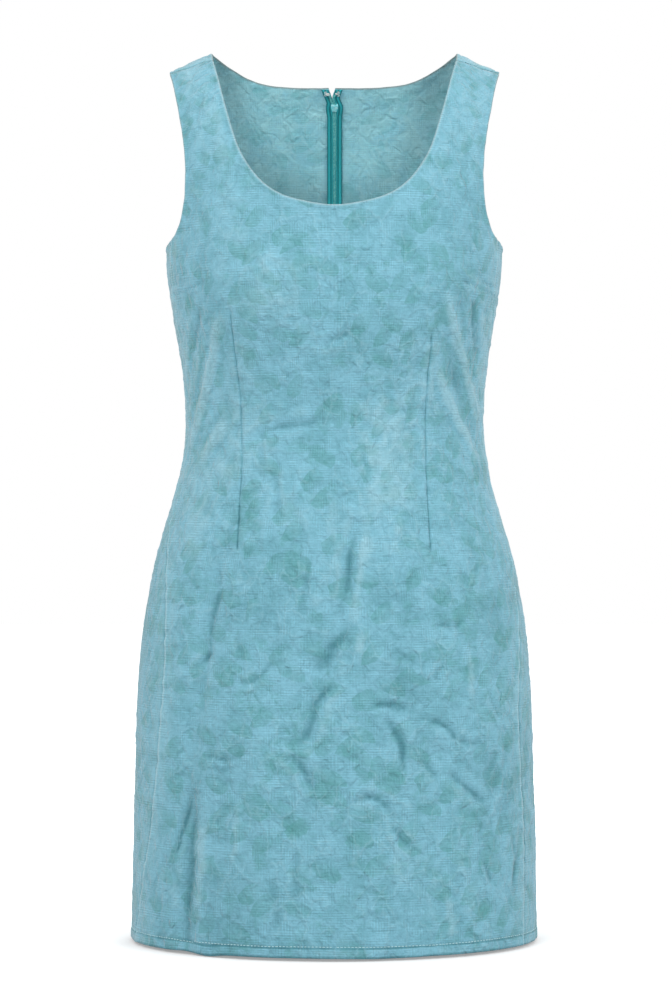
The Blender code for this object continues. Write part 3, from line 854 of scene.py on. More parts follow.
@dataclass
class HalfPanel:
    """Half a panel, as grids of places on the garment's form.

    The body reaches from the hem to the neckline and the armhole. The strap stands on it.
    """

    face: Face
    side: Side
    cell: float = 0.00235
    tight: float = 0.0008
    hem_width: float = 0.200
    hem_depth: float = 0.0095
    neck_share: float = 7 / 16
    arm_share: float = 12 / 16
    samples: int = 40
    seam_gap: float = 0.0003
    packed_rows: int = 26

    def outline(self) -> dict[str, Array]:
        """The edges of the body and of the strap.

        Returns:
            Dense lists of places, by the edge's name.
        """
        home, fine = self.face.value, self.samples
        rows = FORM.edge_rows(home)
        under_neck = even_edge(rows.neck, *rows.neck_ends[:2], 7 * fine)
        neck_side = even_edge(rows.neck, *rows.neck_ends[1:], 8 * fine)
        arm_side = even_edge(rows.arm, *rows.arm_ends[:2], 8 * fine)[::-1]
        under_arm = even_edge(rows.arm, *rows.arm_ends[1:], 4 * fine)
        strap_base = np.linspace(under_neck[-1], under_arm[0], 5 * fine + 1)
        top = np.concatenate([under_neck, strap_base[1:], under_arm[1:]])
        runs = np.linspace(FORM.hem_run, top[-1][1], 20 * fine)
        column = "left" if self.side is Side.LEFT else "right"
        seam = np.radians(SEAMS.at(column, -FORM.drop(runs)))
        right = np.stack([seam if self.face is Face.FRONT else math.pi - seam, runs], axis=-1)
        last_row = (FORM.hem_run - top[-1][1]) / self.packed_rows
        right[:, 0] += (top[-1][0] - right[-1, 0]) * np.clip(1 - (runs - runs[-1]) / last_row, 0, 1)
        right[-1] = top[-1]
        runs = np.linspace(FORM.hem_run, top[0][1], 20 * fine)
        left = np.stack([np.zeros(len(runs)), runs], axis=-1)
        if self.face is Face.BACK:
            heights = FORM.height_at(0.0, runs)
            gap = np.maximum(ZIP_OPENING.at("half_gap", heights), self.seam_gap / 2)
            left[:, 0] = FORM.turn_across(gap, heights)
        left[-1] = top[0]
        bottom = np.linspace(left[0], right[0], 16 * fine + 1)
        shoulder = np.linspace(neck_side[-1], arm_side[-1], 5 * fine + 1)
        return {
            "top": top, "right": right, "left": left, "bottom": bottom, "shoulder": shoulder,
            "under_neck": under_neck, "neck_side": neck_side, "strap_base": strap_base,
            "arm_side": arm_side, "under_arm": under_arm,
        }

    def columns(self) -> tuple[Array, int, int]:
        """The columns of the body's grid.

        Returns:
            Their shares, and the columns at the neckline's and the armhole's corners.
        """
        even, tight = self.cell / self.hem_width, self.tight / self.hem_width
        centre = (0.0,) if self.face is Face.BACK else ()
        marks = (*centre, self.neck_share, self.arm_share, 1.0)
        ends = (0.0, self.neck_share, self.arm_share, 1.0)
        parts = [graded(a, b, even, marks, tight) for a, b in zip(ends, ends[1:])]
        neck, arm = len(parts[0]) - 1, len(parts[0]) + len(parts[1]) - 2
        return np.concatenate([parts[0], parts[1][1:], parts[2][1:]]), neck, arm

    def dart_across(self, heights: Array) -> Array:
        """The dart's distance from the centre line."""
        name = "back" if self.face is Face.BACK else f"front_{self.side.name.lower()}"
        return DARTS.at(name, heights)

    def grids(self) -> tuple[Array, Array, int, int]:
        """The grids of the body and of the strap.

        Returns:
            The places of both, and the columns where the strap stands.
        """
        edges = self.outline()
        columns, neck, arm = self.columns()
        length = FORM.hem_run - edges["top"][0][1]
        marks = (self.hem_depth, length)
        rows = graded(0.0, length, self.cell, marks, self.tight) / length
        u, v = np.meshgrid(columns, rows)
        sides = (edges["bottom"], edges["top"], edges["left"], edges["right"])
        plain = patch(sides, u, v)
        heights = -FORM.drop(plain[:, neck, 1])
        wanted = FORM.turn_across(self.dart_across(heights), heights)
        follow = smooth((-0.185 - heights) / 0.065)
        for row in range(len(rows)):
            dart = np.interp(wanted[row], plain[row, :, 0], columns)
            dart = self.neck_share + follow[row] * (dart - self.neck_share)
            inner = columns * dart / self.neck_share
            outer = 1 - (1 - columns) * (1 - dart) / (1 - self.neck_share)
            u[row] = np.where(columns < self.neck_share, inner, outer)
        body = patch(sides, u, v)
        length = lengths_along(FORM.point(edges["neck_side"][:, 0], edges["neck_side"][:, 1]))[-1]
        rows = graded(0.0, length, self.cell, (length,), self.tight) / length
        across = (columns[neck : arm + 1] - columns[neck]) / (columns[arm] - columns[neck])
        u, v = np.meshgrid(across, rows)
        strap_edges = ("strap_base", "shoulder", "neck_side", "arm_side")
        strap = patch(tuple(edges[name] for name in strap_edges), u, v)
        self.pull_in(body, np.s_[:, -1], np.s_[:, -2])
        self.pull_in(strap, np.s_[-1, :], np.s_[-2, :])
        return body, strap, neck, arm

    def pull_in(self, grid: Array, edge: tuple, inside: tuple) -> None:
        """Moves one edge towards the line inside it, by half of a seam's gap."""
        points, inner = (FORM.point(grid[row][..., 0], grid[row][..., 1]) for row in (edge, inside))
        share = self.seam_gap / 2 / np.linalg.norm(inner - points, axis=-1, keepdims=True)
        grid[edge] += (grid[inside] - grid[edge]) * share

    def on_body(self, grid: Array) -> tuple[Array, Array]:
        """The turns and runs of places that are given from the panel's own centre line."""
        from_centre, run = grid[..., 0], grid[..., 1]
        on_front = (run >= 0) == (self.face is Face.FRONT)
        return np.where(on_front, from_centre, math.pi - from_centre), np.abs(run)

    def bare(self, grid: Array) -> Array:
        """The places' points on the bare form."""
        return FORM.point(*self.on_body(grid)) * (self.side.value, 1, 1)


@dataclass
class Relief:
    """What stands off the form: folds, creases, seams, darts, turned edges and puckers."""

    creasing: Creasing = field(default_factory=Creasing)
    noise: LatticeNoise = LatticeNoise(71)
    hem_depth: float = 0.0095
    hem_step: float = 0.0004
    zip_end: float = -0.545
    seam: Ridge = Ridge(-0.0005, 0.0, 0.0014)
    front_lip: Ridge = Ridge(0.0006, 0.0016, 0.0014)
    allowance: Ridge = Ridge(0.0003, 0.0040, 0.0020)
    seam_pucker: Ridge = Ridge(0.00075, 0.0, 0.0075)
    seam_wave: Ridge = Ridge(0.0006, 0.0, 0.016)
    dart: Ridge = Ridge(-0.0012, 0.0, 0.0010)
    dart_lip: Ridge = Ridge(0.0002, 0.0034, 0.0016)
    dart_pucker: Ridge = Ridge(0.0006, 0.0, 0.008)
    bust: Ridge = Ridge(-0.0011, 0.0, 0.0015)
    bust_lip: Ridge = Ridge(0.0004, 0.004, 0.002)
    back_pucker: Ridge = Ridge(0.0005, 0.0, 0.007)
    hem_line: Ridge = Ridge(-0.0007, 0.0095, 0.0011)
    hem_rope: Ridge = Ridge(0.0004, 0.006, 0.006)
    edge_roll: Ridge = Ridge(0.0005, 0.0012, 0.0014)
    edge_line: Ridge = Ridge(-0.00025, 0.0046, 0.0012)
    edge_wave: Ridge = Ridge(0.0003, 0.0, 0.006)

    def calm(self, around: Array, height: Array, away: dict) -> Array:
        """How much of the creasing shows: less at edges, by the zip and high on the back.

        Args:
            around: Distances round the body.
            height: Heights.
            away: Distances, as in at.

        Returns:
            The share.
        """
        edge = np.minimum(away["neck"], away["arm"])
        calm = 0.3 + 0.7 * smooth(edge / 0.014)
        zipped = (height > self.zip_end - 0.02) & (away["centre_back"] < 0.03)
        calm = np.where(zipped, calm * smooth((away["centre_back"] - 0.007) / 0.012), calm)
        upper_back = smooth((np.abs(around) - 0.24) / 0.06) * smooth((height + 0.21) / 0.06)
        return calm * (1 - 0.65 * upper_back)

    def at(self, around: Array, height: Array, away: dict) -> tuple:
        """The rise of the cloth.

        Args:
            around: Distances round the body.
            height: Heights.
            away: Distances to the neckline, armhole, side seam, shoulder seam, dart, bust dart,
                hem and centre back, and 1 for "front" on the front panel.

        Returns:
            The rise in all, and the part of it that the painted shade and highlights of creases and seams
            follow.
        """
        edge, hem = np.minimum(away["neck"], away["arm"]), away["hem"]
        noise = self.noise.at
        creases = self.creasing.creases(around, height) * self.calm(around, height, away)
        drawn = noise(height, around * 0.3, 0.0055)
        side_seam = np.minimum(away["side"], away["shoulder"])
        loose = 0.15 + 0.85 * smooth((edge - 0.002) / 0.012)
        raised = away["front"] * (away["side"] < 0.02)
        seams = loose * (1 - raised) * self.seam.at(side_seam)
        seams += loose * raised * self.front_lip.at(side_seam) + self.allowance.at(side_seam)
        seams += loose * drawn * self.seam_pucker.at(side_seam)
        seams += loose * noise(height, around * 0.2, 0.014) * self.seam_wave.at(side_seam)
        seams += self.dart.at(away["dart"]) + self.dart_lip.at(away["dart"])
        seams += drawn * self.dart_pucker.at(away["dart"])
        seams += self.bust.at(away["bust"]) + self.bust_lip.at(away["bust"])
        back_seam = away["centre_back"] + np.where(height > self.zip_end, 1.0, 0.0)
        seams += self.seam.at(back_seam) + drawn * self.back_pucker.at(back_seam)
        roping = noise(around + 0.35 * hem, hem * 0.3, 0.0042)
        seams += self.hem_step * smooth((self.hem_depth - hem) / 0.001 + 0.5)
        seams += self.hem_line.at(hem) + roping * self.hem_rope.at(hem)
        seams += self.edge_roll.at(edge) + self.edge_line.at(edge)
        seams += noise(around * 1.1, height, 0.006) * self.edge_wave.at(edge)
        rise = self.creasing.folds(around, height) + creases + seams
        return rise, creases + 0.75 * seams


@dataclass
class PanelCloth:
    """A panel's shell: a fine outer layer, a plainer inner one and a rounded rim."""

    name: str
    halves: list[HalfPanel]
    thickness: float = 0.0011
    edge_round: float = 0.0006
    full_shade: float = 0.0026
    # Painted shade along the back's side seams, a little in from the edges, at the hem's edge and just
    # below the turned hem's top, in the darts and in the shoulder seams.
    seam_shade: Ridge = Ridge(0.22, 0.0012, 0.0011)
    edge_shade: Ridge = Ridge(0.10, 0.0030, 0.0012)
    hem_edge_shade: Ridge = Ridge(0.40, 0.0, 0.0009)
    hem_fold_shade: Ridge = Ridge(0.50, 0.0085, 0.0009)
    dart_shade: Ridge = Ridge(0.30, 0.0, 0.0008)
    shoulder_seam_shade: Ridge = Ridge(0.35, 0.0, 0.0009)
    worn_edge: Ridge = Ridge(0.80, 0.0, 0.0011)
    # Painted highlights on the front's side seams and in streaks beside the side seams.
    seam_highlight: Ridge = Ridge(1.00, 0.0014, 0.0013)
    side_highlight: Ridge = Ridge(0.34, 0.002, 0.013)
    clean_arm: Ridge = Ridge(0.5, 0.0, 0.001)
    rim: Ridge = Ridge(1.0, 0.0, 0.0006)
    band: Ridge = Ridge(1.0, 0.004, 0.005)
    relief: Relief = field(default_factory=Relief)

    def __post_init__(self) -> None:
        """Lays out the grids and works out the cloth's points."""
        self.places: list[Array] = []
        self.sides: list[Array] = []
        self.count = 0
        self.faces: list[Array] = []
        self.coarse: list[list[int]] = []
        self.seam_points: set[int] = set()
        self.lines: dict[str, list[Array]] = {}
        centre = None
        for half in self.halves:
            centre = self.add_half(half, centre)
        self.shape()

    def add_half(self, half: HalfPanel, centre: Array | None) -> Array:
        """Adds a half's grids.

        Args:
            half: The half panel.
            centre: The points of the other half's centre line, where there is one.

        Returns:
            The points of this half's centre line.
        """
        body, strap, neck, arm = half.grids()
        flip = (half.face is Face.FRONT) == (half.side is Side.LEFT)
        index = np.full(body.shape[:2], -1)
        if centre is not None:
            index[:, 0] = centre
        self.number(index, body, half)
        last = len(body) - 1
        self.add_faces(index, flip)
        free_top = [c < neck or c >= arm for c in range(body.shape[1])]
        closed_left = half.face is Face.FRONT
        self.coarse += self.ringed(index, flip, closed_left, True, free_top)
        above = np.full(strap.shape[:2], -1)
        above[0] = index[last, neck : arm + 1]
        self.number(above, strap, half)
        self.add_faces(above, flip)
        self.coarse += self.ringed(above, flip, False, False, [True] * strap.shape[1])
        self.seam_points |= {*index[:, -1].tolist(), *above[-1].tolist()}
        if half.face is Face.BACK:
            self.seam_points |= set(index[:, 0].tolist())
        self.add_lines(half)
        return index[:, 0]

    def number(self, index: Array, grid: Array, half: HalfPanel) -> None:
        """Gives a grid's new places their numbers.

        Args:
            index: The numbers, below 0 where they are new.
            grid: The places.
            half: The half panel.
        """
        new = index < 0
        index[new] = self.count + np.arange(new.sum())
        self.count += int(new.sum())
        turn, run = half.on_body(grid)
        self.places.append(np.stack([turn[new], run[new]], axis=-1))
        self.sides.append(np.full(new.sum(), half.side.value))

    def add_faces(self, index: Array, flip: bool) -> None:
        """Adds a grid's fine faces."""
        corners = [index[:-1, :-1], index[:-1, 1:], index[1:, 1:], index[1:, :-1]]
        quads = np.stack(corners, axis=-1).reshape(-1, 4)
        self.faces.append(quads[:, ::-1] if flip else quads)

    def ringed(
        self, index: Array, flip: bool, closed_left: bool, free_bottom: bool, free_top: list
    ) -> list[list[int]]:
        """The inner layer's faces, two cells wide, which keep every point of the outline.

        Args:
            index: The grid's points.
            flip: Whether the faces run the other way round.
            closed_left: Whether the first column has a neighbour.
            free_bottom: Whether the first row is an edge.
            free_top: Whether the last row is an edge, by column.

        Returns:
            The faces.
        """
        made = []
        last_row, last_column = index.shape[0] - 1, index.shape[1] - 1
        for r in range(0, last_row, 2):
            for c in range(0, last_column, 2):
                ring = (
                    (0, 0, True), (0, 1, r == 0 and free_bottom), (0, 2, True),
                    (1, 2, c + 2 == last_column), (2, 2, True),
                    (2, 1, r + 2 == last_row and free_top[c]), (2, 0, True),
                    (1, 0, c == 0 and not closed_left),
                )
                kept = [int(index[r + up, c + along]) for up, along, keep in ring if keep]
                made.append(kept if flip else kept[::-1])
        return made

    def add_lines(self, half: HalfPanel) -> None:
        """Keeps a half's edges, seams and darts, as lines on the bare form.

        Args:
            half: The half panel.
        """
        edges = half.outline()
        neck = np.concatenate([edges["under_neck"], edges["neck_side"][1:]])
        arm = np.concatenate([edges["under_arm"][::-1], edges["arm_side"][1:]])
        low, high = DART_SPAN[half.face]
        heights = np.linspace(low, high + DART_LIFT, 400)
        lines = {"neck": neck, "arm": arm, "side": edges["right"], "shoulder": edges["shoulder"]}
        lines["dart"] = self.below(half.dart_across(heights), heights)
        if half.face is Face.FRONT:
            lines["bust"] = self.below(*bent(np.array(BUST_DART), np.linspace(0, 1, 80)[:, None]).T)
        for name, line in lines.items():
            self.lines.setdefault(name, []).append(half.bare(line))

    @staticmethod
    def below(across: Array, heights: Array) -> Array:
        """Places well below the shoulder, from distances across and heights."""
        return np.stack([FORM.turn_across(across, heights), FORM.run_at(heights)], axis=-1)

    def shape(self) -> None:
        """Works out the points, normals, distances, tints and painted shade."""
        places, side = np.concatenate(self.places), np.concatenate(self.sides)
        self.quads = np.concatenate(self.faces)
        turn, run = places[:, 0], places[:, 1]
        base = FORM.point(turn, run) * np.stack([side, np.ones(len(side)), np.ones(len(side))], axis=-1)
        self.around, self.up = side * turn * FORM.girth_radius, -run
        away = {name: distance_to(base, np.concatenate(lines)) for name, lines in self.lines.items()}
        away["hem"] = FORM.hem_run - run
        away["centre_back"] = np.where(turn > 2.4, np.abs(base[:, 0]), 1.0)
        away.setdefault("bust", np.ones(len(base)))
        away["front"] = np.full(len(base), float(self.halves[0].face is Face.FRONT))
        low, high = DART_SPAN[self.halves[0].face]
        high += DART_LIFT * away["front"] * (side < 0)
        ends = smooth((base[:, 2] - low) / 0.02) * smooth((high - base[:, 2]) / 0.02)
        away["dart"] = away["dart"] + (1 - ends) * 0.006
        rise, shade_rise = self.relief.at(self.around, base[:, 2], away)
        self.points = settled(leaned(base + self.normals_of(base) * rise[:, None]))
        self.normals = self.normals_of(self.points)
        self.wash = self.paint_wear_and_shade(shade_rise, away)

    def normals_of(self, points: Array) -> Array:
        """Works out normals from the faces round each point.

        Args:
            points: The cloth's points.

        Returns:
            The outward normals.
        """
        a, b, c, d = (points[self.quads[:, k]] for k in range(4))
        face = np.cross(c - a, d - b)
        normal = np.zeros(points.shape)
        for k in range(4):
            np.add.at(normal, self.quads[:, k], face)
        return normal / np.linalg.norm(normal, axis=1, keepdims=True)

    def paint_wear_and_shade(self, shade_rise: Array, away: dict) -> Array:
        """The tint of each point: how grey its rim is, its painted shade, and its paleness, which is
        partly painted highlight.

        Args:
            shade_rise: The rise that the painted shade and highlights follow.
            away: Distances, as in Relief.at.

        Returns:
            Four shares for each point: the rim's, the shoulder band's, the painted shade's and the
                pale's.
        """
        edge, hem = np.minimum(away["neck"], away["arm"]), away["hem"]
        front = float(self.halves[0].face is Face.FRONT)
        side, shoulder, arm = away["side"], away["shoulder"], away["arm"]
        # Painted shade: the hollows of creases darker and their ridges lighter, darker lines along the
        # back's side seams, a little in from the edges, at the hem's edge and just below the turned hem's
        # top, in the darts and the shoulder seams, and darker low on the skirt.
        shade = 0.5 + np.clip(shade_rise / self.full_shade, -1, 1) / 2
        shade -= (1 - front) * self.seam_shade.at(side) + self.edge_shade.at(edge)
        shade -= self.hem_edge_shade.at(hem) + self.hem_fold_shade.at(hem) + self.dart_shade.at(away["dart"])
        shade -= self.shoulder_seam_shade.at(shoulder) + 0.10 * smooth((-self.up - 0.51) / 0.10)
        streaks = 0.6 + 0.5 * self.relief.noise.at(self.around * 2.2, self.up * 0.25, 0.0065)
        # Painted highlights: a light line on the front's side seams and paler streaks beside the side
        # seams; the neckline's and armholes' edges are paler too.
        pale = self.worn_edge.at(edge) + front * self.seam_highlight.at(side)
        pale = np.maximum(pale, self.side_highlight.at(side) * streaks)
        rim = np.maximum(self.rim.at(edge) * (1 - 0.55 * front), self.rim.at(arm))
        band = self.band.at(shoulder) * (1 - front)
        pale = np.maximum(pale - self.clean_arm.at(arm), 0.45 * band)
        return np.column_stack([rim, band, np.clip(shade, 0, 1), np.clip(pale, 0, 1)])

    def build(self, outside: Material, inside: Material) -> Object:
        """Makes the shell.

        Args:
            outside: The outer layer's and the rim's material.
            inside: The inner layer's material.

        Returns:
            The panel's object.
        """
        starts = np.concatenate([self.quads[:, k] for k in range(4)])
        ends = np.concatenate([self.quads[:, (k + 1) % 4] for k in range(4)])
        twins = set(zip(ends.tolist(), starts.tolist()))
        rim = [(a, b) for a, b in zip(starts.tolist(), ends.tolist()) if (a, b) not in twins]
        inner_ids = sorted({i for ring in self.coarse for i in ring})
        rim_ids = sorted({a for a, _ in rim})
        away = np.zeros(self.points.shape)
        for a, b in rim:
            out = np.cross(self.points[b] - self.points[a], self.normals[a])
            away[a] += out
            away[b] += out
        away[rim_ids] /= np.linalg.norm(away[rim_ids], axis=1, keepdims=True)
        away[sorted(self.seam_points)] *= 0.0
        half = self.thickness / 2 * self.normals
        outer = self.points + half
        middle = self.points[rim_ids] + self.edge_round * away[rim_ids]
        inner = self.points[inner_ids] - half[inner_ids]
        to_middle = {i: self.count + k for k, i in enumerate(rim_ids)}
        to_inner = {i: self.count + len(rim_ids) + k for k, i in enumerate(inner_ids)}
        faces = self.quads.tolist()
        for a, b in rim:
            faces.append([b, a, to_middle[a], to_middle[b]])
            faces.append([to_middle[b], to_middle[a], to_inner[a], to_inner[b]])
        outside_count = len(faces)
        faces += [[to_inner[i] for i in ring] for ring in self.coarse]
        piece = new_piece(self.name, [outer, middle, inner], faces)
        slots = np.arange(len(faces)) >= outside_count
        piece.data.materials.append(outside)
        piece.data.materials.append(inside)
        piece.data.polygons.foreach_set("material_index", slots.astype(int))
        piece.data.polygons.foreach_set("use_smooth", np.ones(len(faces), bool))
        self.paint(piece.data, np.concatenate([np.arange(self.count), rim_ids, inner_ids]))
        return sewn(piece)

    def paint(self, mesh: Mesh, source: Array) -> None:
        """Gives the mesh its tints and painted shade, and its UV map, in metres along the cloth.

        Args:
            mesh: The shell's mesh.
            source: The point of the cloth that each of its points comes from.
        """
        wash = mesh.color_attributes.new("wash", "FLOAT_COLOR", "POINT")
        wash.data.foreach_set("color", self.wash[source].ravel())
        lay_flat(mesh, np.column_stack([self.around, self.up])[source])

    def surface(self) -> BVHTree:
        """The outer layer, for laying things on it."""
        outer = self.points + self.thickness / 2 * self.normals
        return BVHTree.FromPolygons(outer.tolist(), self.quads.tolist())


# ---- finishes


def tint(red: int, green: int, blue: int) -> tuple:
    """A colour as it looks on a screen, from 0 to 255, as the shader's linear one."""
    parts = [c / 255 for c in (red, green, blue)]
    linear = [c / 12.92 if c <= 0.04045 else ((c + 0.055) / 1.055) ** 2.4 for c in parts]
    return (*linear, 1.0)


class Nodes:
    """A material's node tree, with short calls for the nodes that the finishes share."""

    def __init__(self, name: str) -> None:
        """Starts a material with its shader."""
        self.material = bpy.data.materials.new(name)
        self.material.use_nodes = True
        self.tree = self.material.node_tree
        self.shader = self.tree.nodes["Principled BSDF"]

    def add(self, kind: str, values: dict, **settings: object) -> Node:
        """Adds a node.

        Args:
            kind: The node's type, without its prefix.
            values: What goes into its sockets, by name or number: a number or an output.
            settings: The node's own settings.

        Returns:
            The node.
        """
        node = self.tree.nodes.new(f"ShaderNode{kind}")
        for key, value in settings.items():
            setattr(node, key, value)
        for socket, value in values.items():
            self.feed(node.inputs[socket], value)
        return node

    def feed(self, socket: NodeSocket, value: object) -> None:
        """Links an output to a socket, or sets the socket's number."""
        if isinstance(value, NodeSocket):
            self.tree.links.new(value, socket)
        else:
            socket.default_value = value

    def place(self, scale: Place | None = None, uv: bool = False) -> Value:
        """Object coordinates or the cloth's own.

        Args:
            scale: How much each axis is scaled.
            uv: Whether they are the cloth's own.

        Returns:
            The coordinates.
        """
        coordinates = self.add("TexCoord", {}).outputs["UV" if uv else "Object"]
        if scale is None:
            return coordinates
        return self.add("Mapping", {"Vector": coordinates, "Scale": scale}).outputs[0]

    def noise(self, vector: Value, scale: float, detail: float = 2.0, rough: float = 0.5) -> Value:
        """Smooth noise from 0 to 1."""
        values = {"Vector": vector, "Scale": scale, "Detail": detail, "Roughness": rough}
        return self.add("TexNoise", values).outputs[0]

    def span(self, value: Value, low: float, high: float, to_low: float = 0, to_high: float = 1) -> Value:
        """Maps a range of values onto another, with soft ends."""
        names = ("Value", "From Min", "From Max", "To Min", "To Max")
        values = dict(zip(names, (value, low, high, to_low, to_high)))
        return self.add("MapRange", values, interpolation_type="SMOOTHSTEP").outputs[0]

    def sum(self, operation: str, first: Value, second: Value) -> Value:
        """A sum of two numbers, with the operation's name in Blender."""
        return self.add("Math", {0: first, 1: second}, operation=operation).outputs[0]

    def blend(self, share: Value, first: Value, second: Value) -> Value:
        """A mix of two colours."""
        return self.add("Mix", {0: share, 6: first, 7: second}, data_type="RGBA").outputs[2]

    def bump(self, height: Value, distance: float, strength: float, normal: Value | None = None) -> Value:
        """A normal bent by a height.

        Args:
            height: The height.
            distance: How far a height of 1 stands out.
            strength: How much of it shows.
            normal: The normal that it bends.

        Returns:
            The bent normal.
        """
        values = {"Height": height, "Distance": distance, "Strength": strength}
        if normal is not None:
            values["Normal"] = normal
        return self.add("Bump", values).outputs[0]

    def finish(self, colour: Value, roughness: Value, normal: Value, **sockets: Value) -> Material:
        """Feeds the shader.

        Args:
            colour: The base colour.
            roughness: The roughness.
            normal: The bent normal.
            sockets: The shader's other sockets, with _ for a space.

        Returns:
            The material.
        """
        fed = {"Base_Color": colour, "Roughness": roughness, "Normal": normal, **sockets}
        for name, value in fed.items():
            self.feed(self.shader.inputs[name.replace("_", " ")], value)
        return self.material


@dataclass(frozen=True)
class CottonFinish:
    """Washed cotton: a faded print of leaves and petals, ribs and slubs, and creases with painted shade
    in their hollows and painted highlights on their ridges.
    """

    name: str = "washed_cotton_outside"
    ground: tuple = tint(116, 175, 191)
    petal: tuple = tint(133, 191, 210)
    leaf: tuple = tint(88, 155, 156)
    # Next: the colour of painted shade, then that of painted highlights and paler edges.
    shade_tint: tuple = tint(66, 126, 138)
    pale: tuple = tint(160, 204, 216)
    rim: tuple = tint(140, 150, 146)
    print_share: float = 1.0
    shade_share: float = 0.8
    leaf_size: Pair = (0.038, 0.022)
    petal_size: Pair = (0.042, 0.032)
    warp: float = 0.010
    shape_warp: float = 0.004
    rib_pitch: float = 0.0023
    rib_depth: float = 0.23
    thread_pitch: float = 0.0021
    thread_depth: float = 0.17
    slub_depth: float = 0.44
    speck_depth: float = 0.34
    crumple: float = 0.0030
    crackle_scale: float = 62.0
    fold_reach: float = 0.24
    fold_depth: float = 0.0005
    sheen: float = 0.40
    neck_shade: float = 0.0
    neck_reach: Pair = (0.104, 0.105)
    neck_middle: Pair = (-0.0065, -0.031)

    def motifs(self, n: Nodes, cloth: Value, turn: float, size: tuple, share: float) -> Value:
        """Faded shapes of one kind, crisp at their tips.

        Args:
            n: The node tree.
            cloth: The place on the cloth.
            turn: The way the shapes point.
            size: Their spacing along and across.
            share: How many of them are printed.

        Returns:
            The print's strength, from 0 to 1.
        """
        turned = n.add("Mapping", {"Vector": cloth, "Rotation": (0, 0, turn)}).outputs[0]
        scale = (1 / size[0], 1 / size[1], 1)
        place = n.add("Mapping", {"Vector": turned, "Scale": scale}).outputs[0]
        cell = n.add("TexVoronoi", {"Vector": place, "Scale": 1.0}, voronoi_dimensions="2D").outputs
        away = n.add("VectorMath", {0: place, 1: cell["Position"]}, operation="SUBTRACT").outputs[0]
        drawn = n.add("SeparateColor", {0: cell["Color"]}).outputs
        bent = {"Vector": away, "Angle": n.sum("MULTIPLY", drawn[1], 1.4)}
        away = n.add("VectorRotate", bent, rotation_type="Z_AXIS").outputs[0]
        along, across = n.add("SeparateXYZ", {0: away}).outputs[:2]
        tips = n.sum("DIVIDE", n.sum("MULTIPLY", along, along), 0.18)
        spread = n.sum("ADD", tips, n.sum("DIVIDE", n.sum("ABSOLUTE", across, 0.0), 0.32))
        inside = n.span(spread, 1.0, 0.86)
        strength = n.span(drawn[0], 1 - share, 1.15 - share)
        faded = n.span(along, -0.42, 0.30, 0.25, 1.0)
        return n.sum("MULTIPLY", n.sum("MULTIPLY", inside, strength), faded)

    def ribs(self, n: Nodes, across: bool, pitch: float, depth: float, start: float) -> Value:
        """Raised threads that show in patches, as a number about 0.

        Args:
            n: The node tree.
            across: Whether they run across the cloth.
            pitch: Their spacing.
            depth: Their strength.
            start: How much noise a patch takes to show.

        Returns:
            The strength.
        """
        longer = (0.22, 1, 1) if across else (1, 0.22, 1)
        place = n.place(longer, uv=True)
        values = {"Vector": place, "Scale": math.pi / 10 / pitch, "Distortion": 3.0, "Detail": 2.0}
        wave = n.add("TexWave", values, bands_direction="Y" if across else "X").outputs[1]
        patches = n.noise(n.place((70, 110, 1) if across else (120, 60, 1), uv=True), 1.0, 2.0)
        shown = n.span(patches, start, start + 0.12, 0.12, 1.0)
        return n.sum("MULTIPLY", n.sum("MULTIPLY", n.sum("SUBTRACT", wave, 0.5), shown), depth)

    def crackle(self, n: Nodes, place: Value, scale: float, width: float, start: float) -> tuple:
        """Broken lines along creases, from 0 to 1, for painted highlights and painted shade.

        Args:
            n: The node tree.
            place: The place on the cloth.
            scale: How many cells there are in a metre.
            width: The lines' half width.
            start: How much noise a line takes to show.

        Returns:
            The lines' strength, and the relief of the fold round them.
        """
        values = {"Vector": place, "Scale": scale}
        edge = n.add("TexVoronoi", values, feature="DISTANCE_TO_EDGE").outputs["Distance"]
        shown = n.span(n.noise(place, scale * 0.7), start, start + 0.12)
        line, fold = n.span(edge, width * scale, 0.0), n.span(edge, self.fold_reach, 0.0)
        return n.sum("MULTIPLY", line, shown), n.sum("MULTIPLY", fold, shown)

    def round_neck(self, n: Nodes, place: Value) -> Value:
        """The shade that gathers inside, round the neckline and below it.

        Args:
            n: The node tree.
            place: Object coordinates.

        Returns:
            The shade's strength.
        """
        (wide, high), (side, middle) = self.neck_reach, self.neck_middle
        moved = {"Location": (-side / wide, 0, -middle / high), "Scale": (1 / wide, 0, 1 / high)}
        scaled = n.add("Mapping", {"Vector": place, **moved}).outputs[0]
        away = n.add("VectorMath", {0: scaled}, operation="LENGTH").outputs["Value"]
        return n.span(away, 0.62, 1.00, 0.0, self.neck_shade)

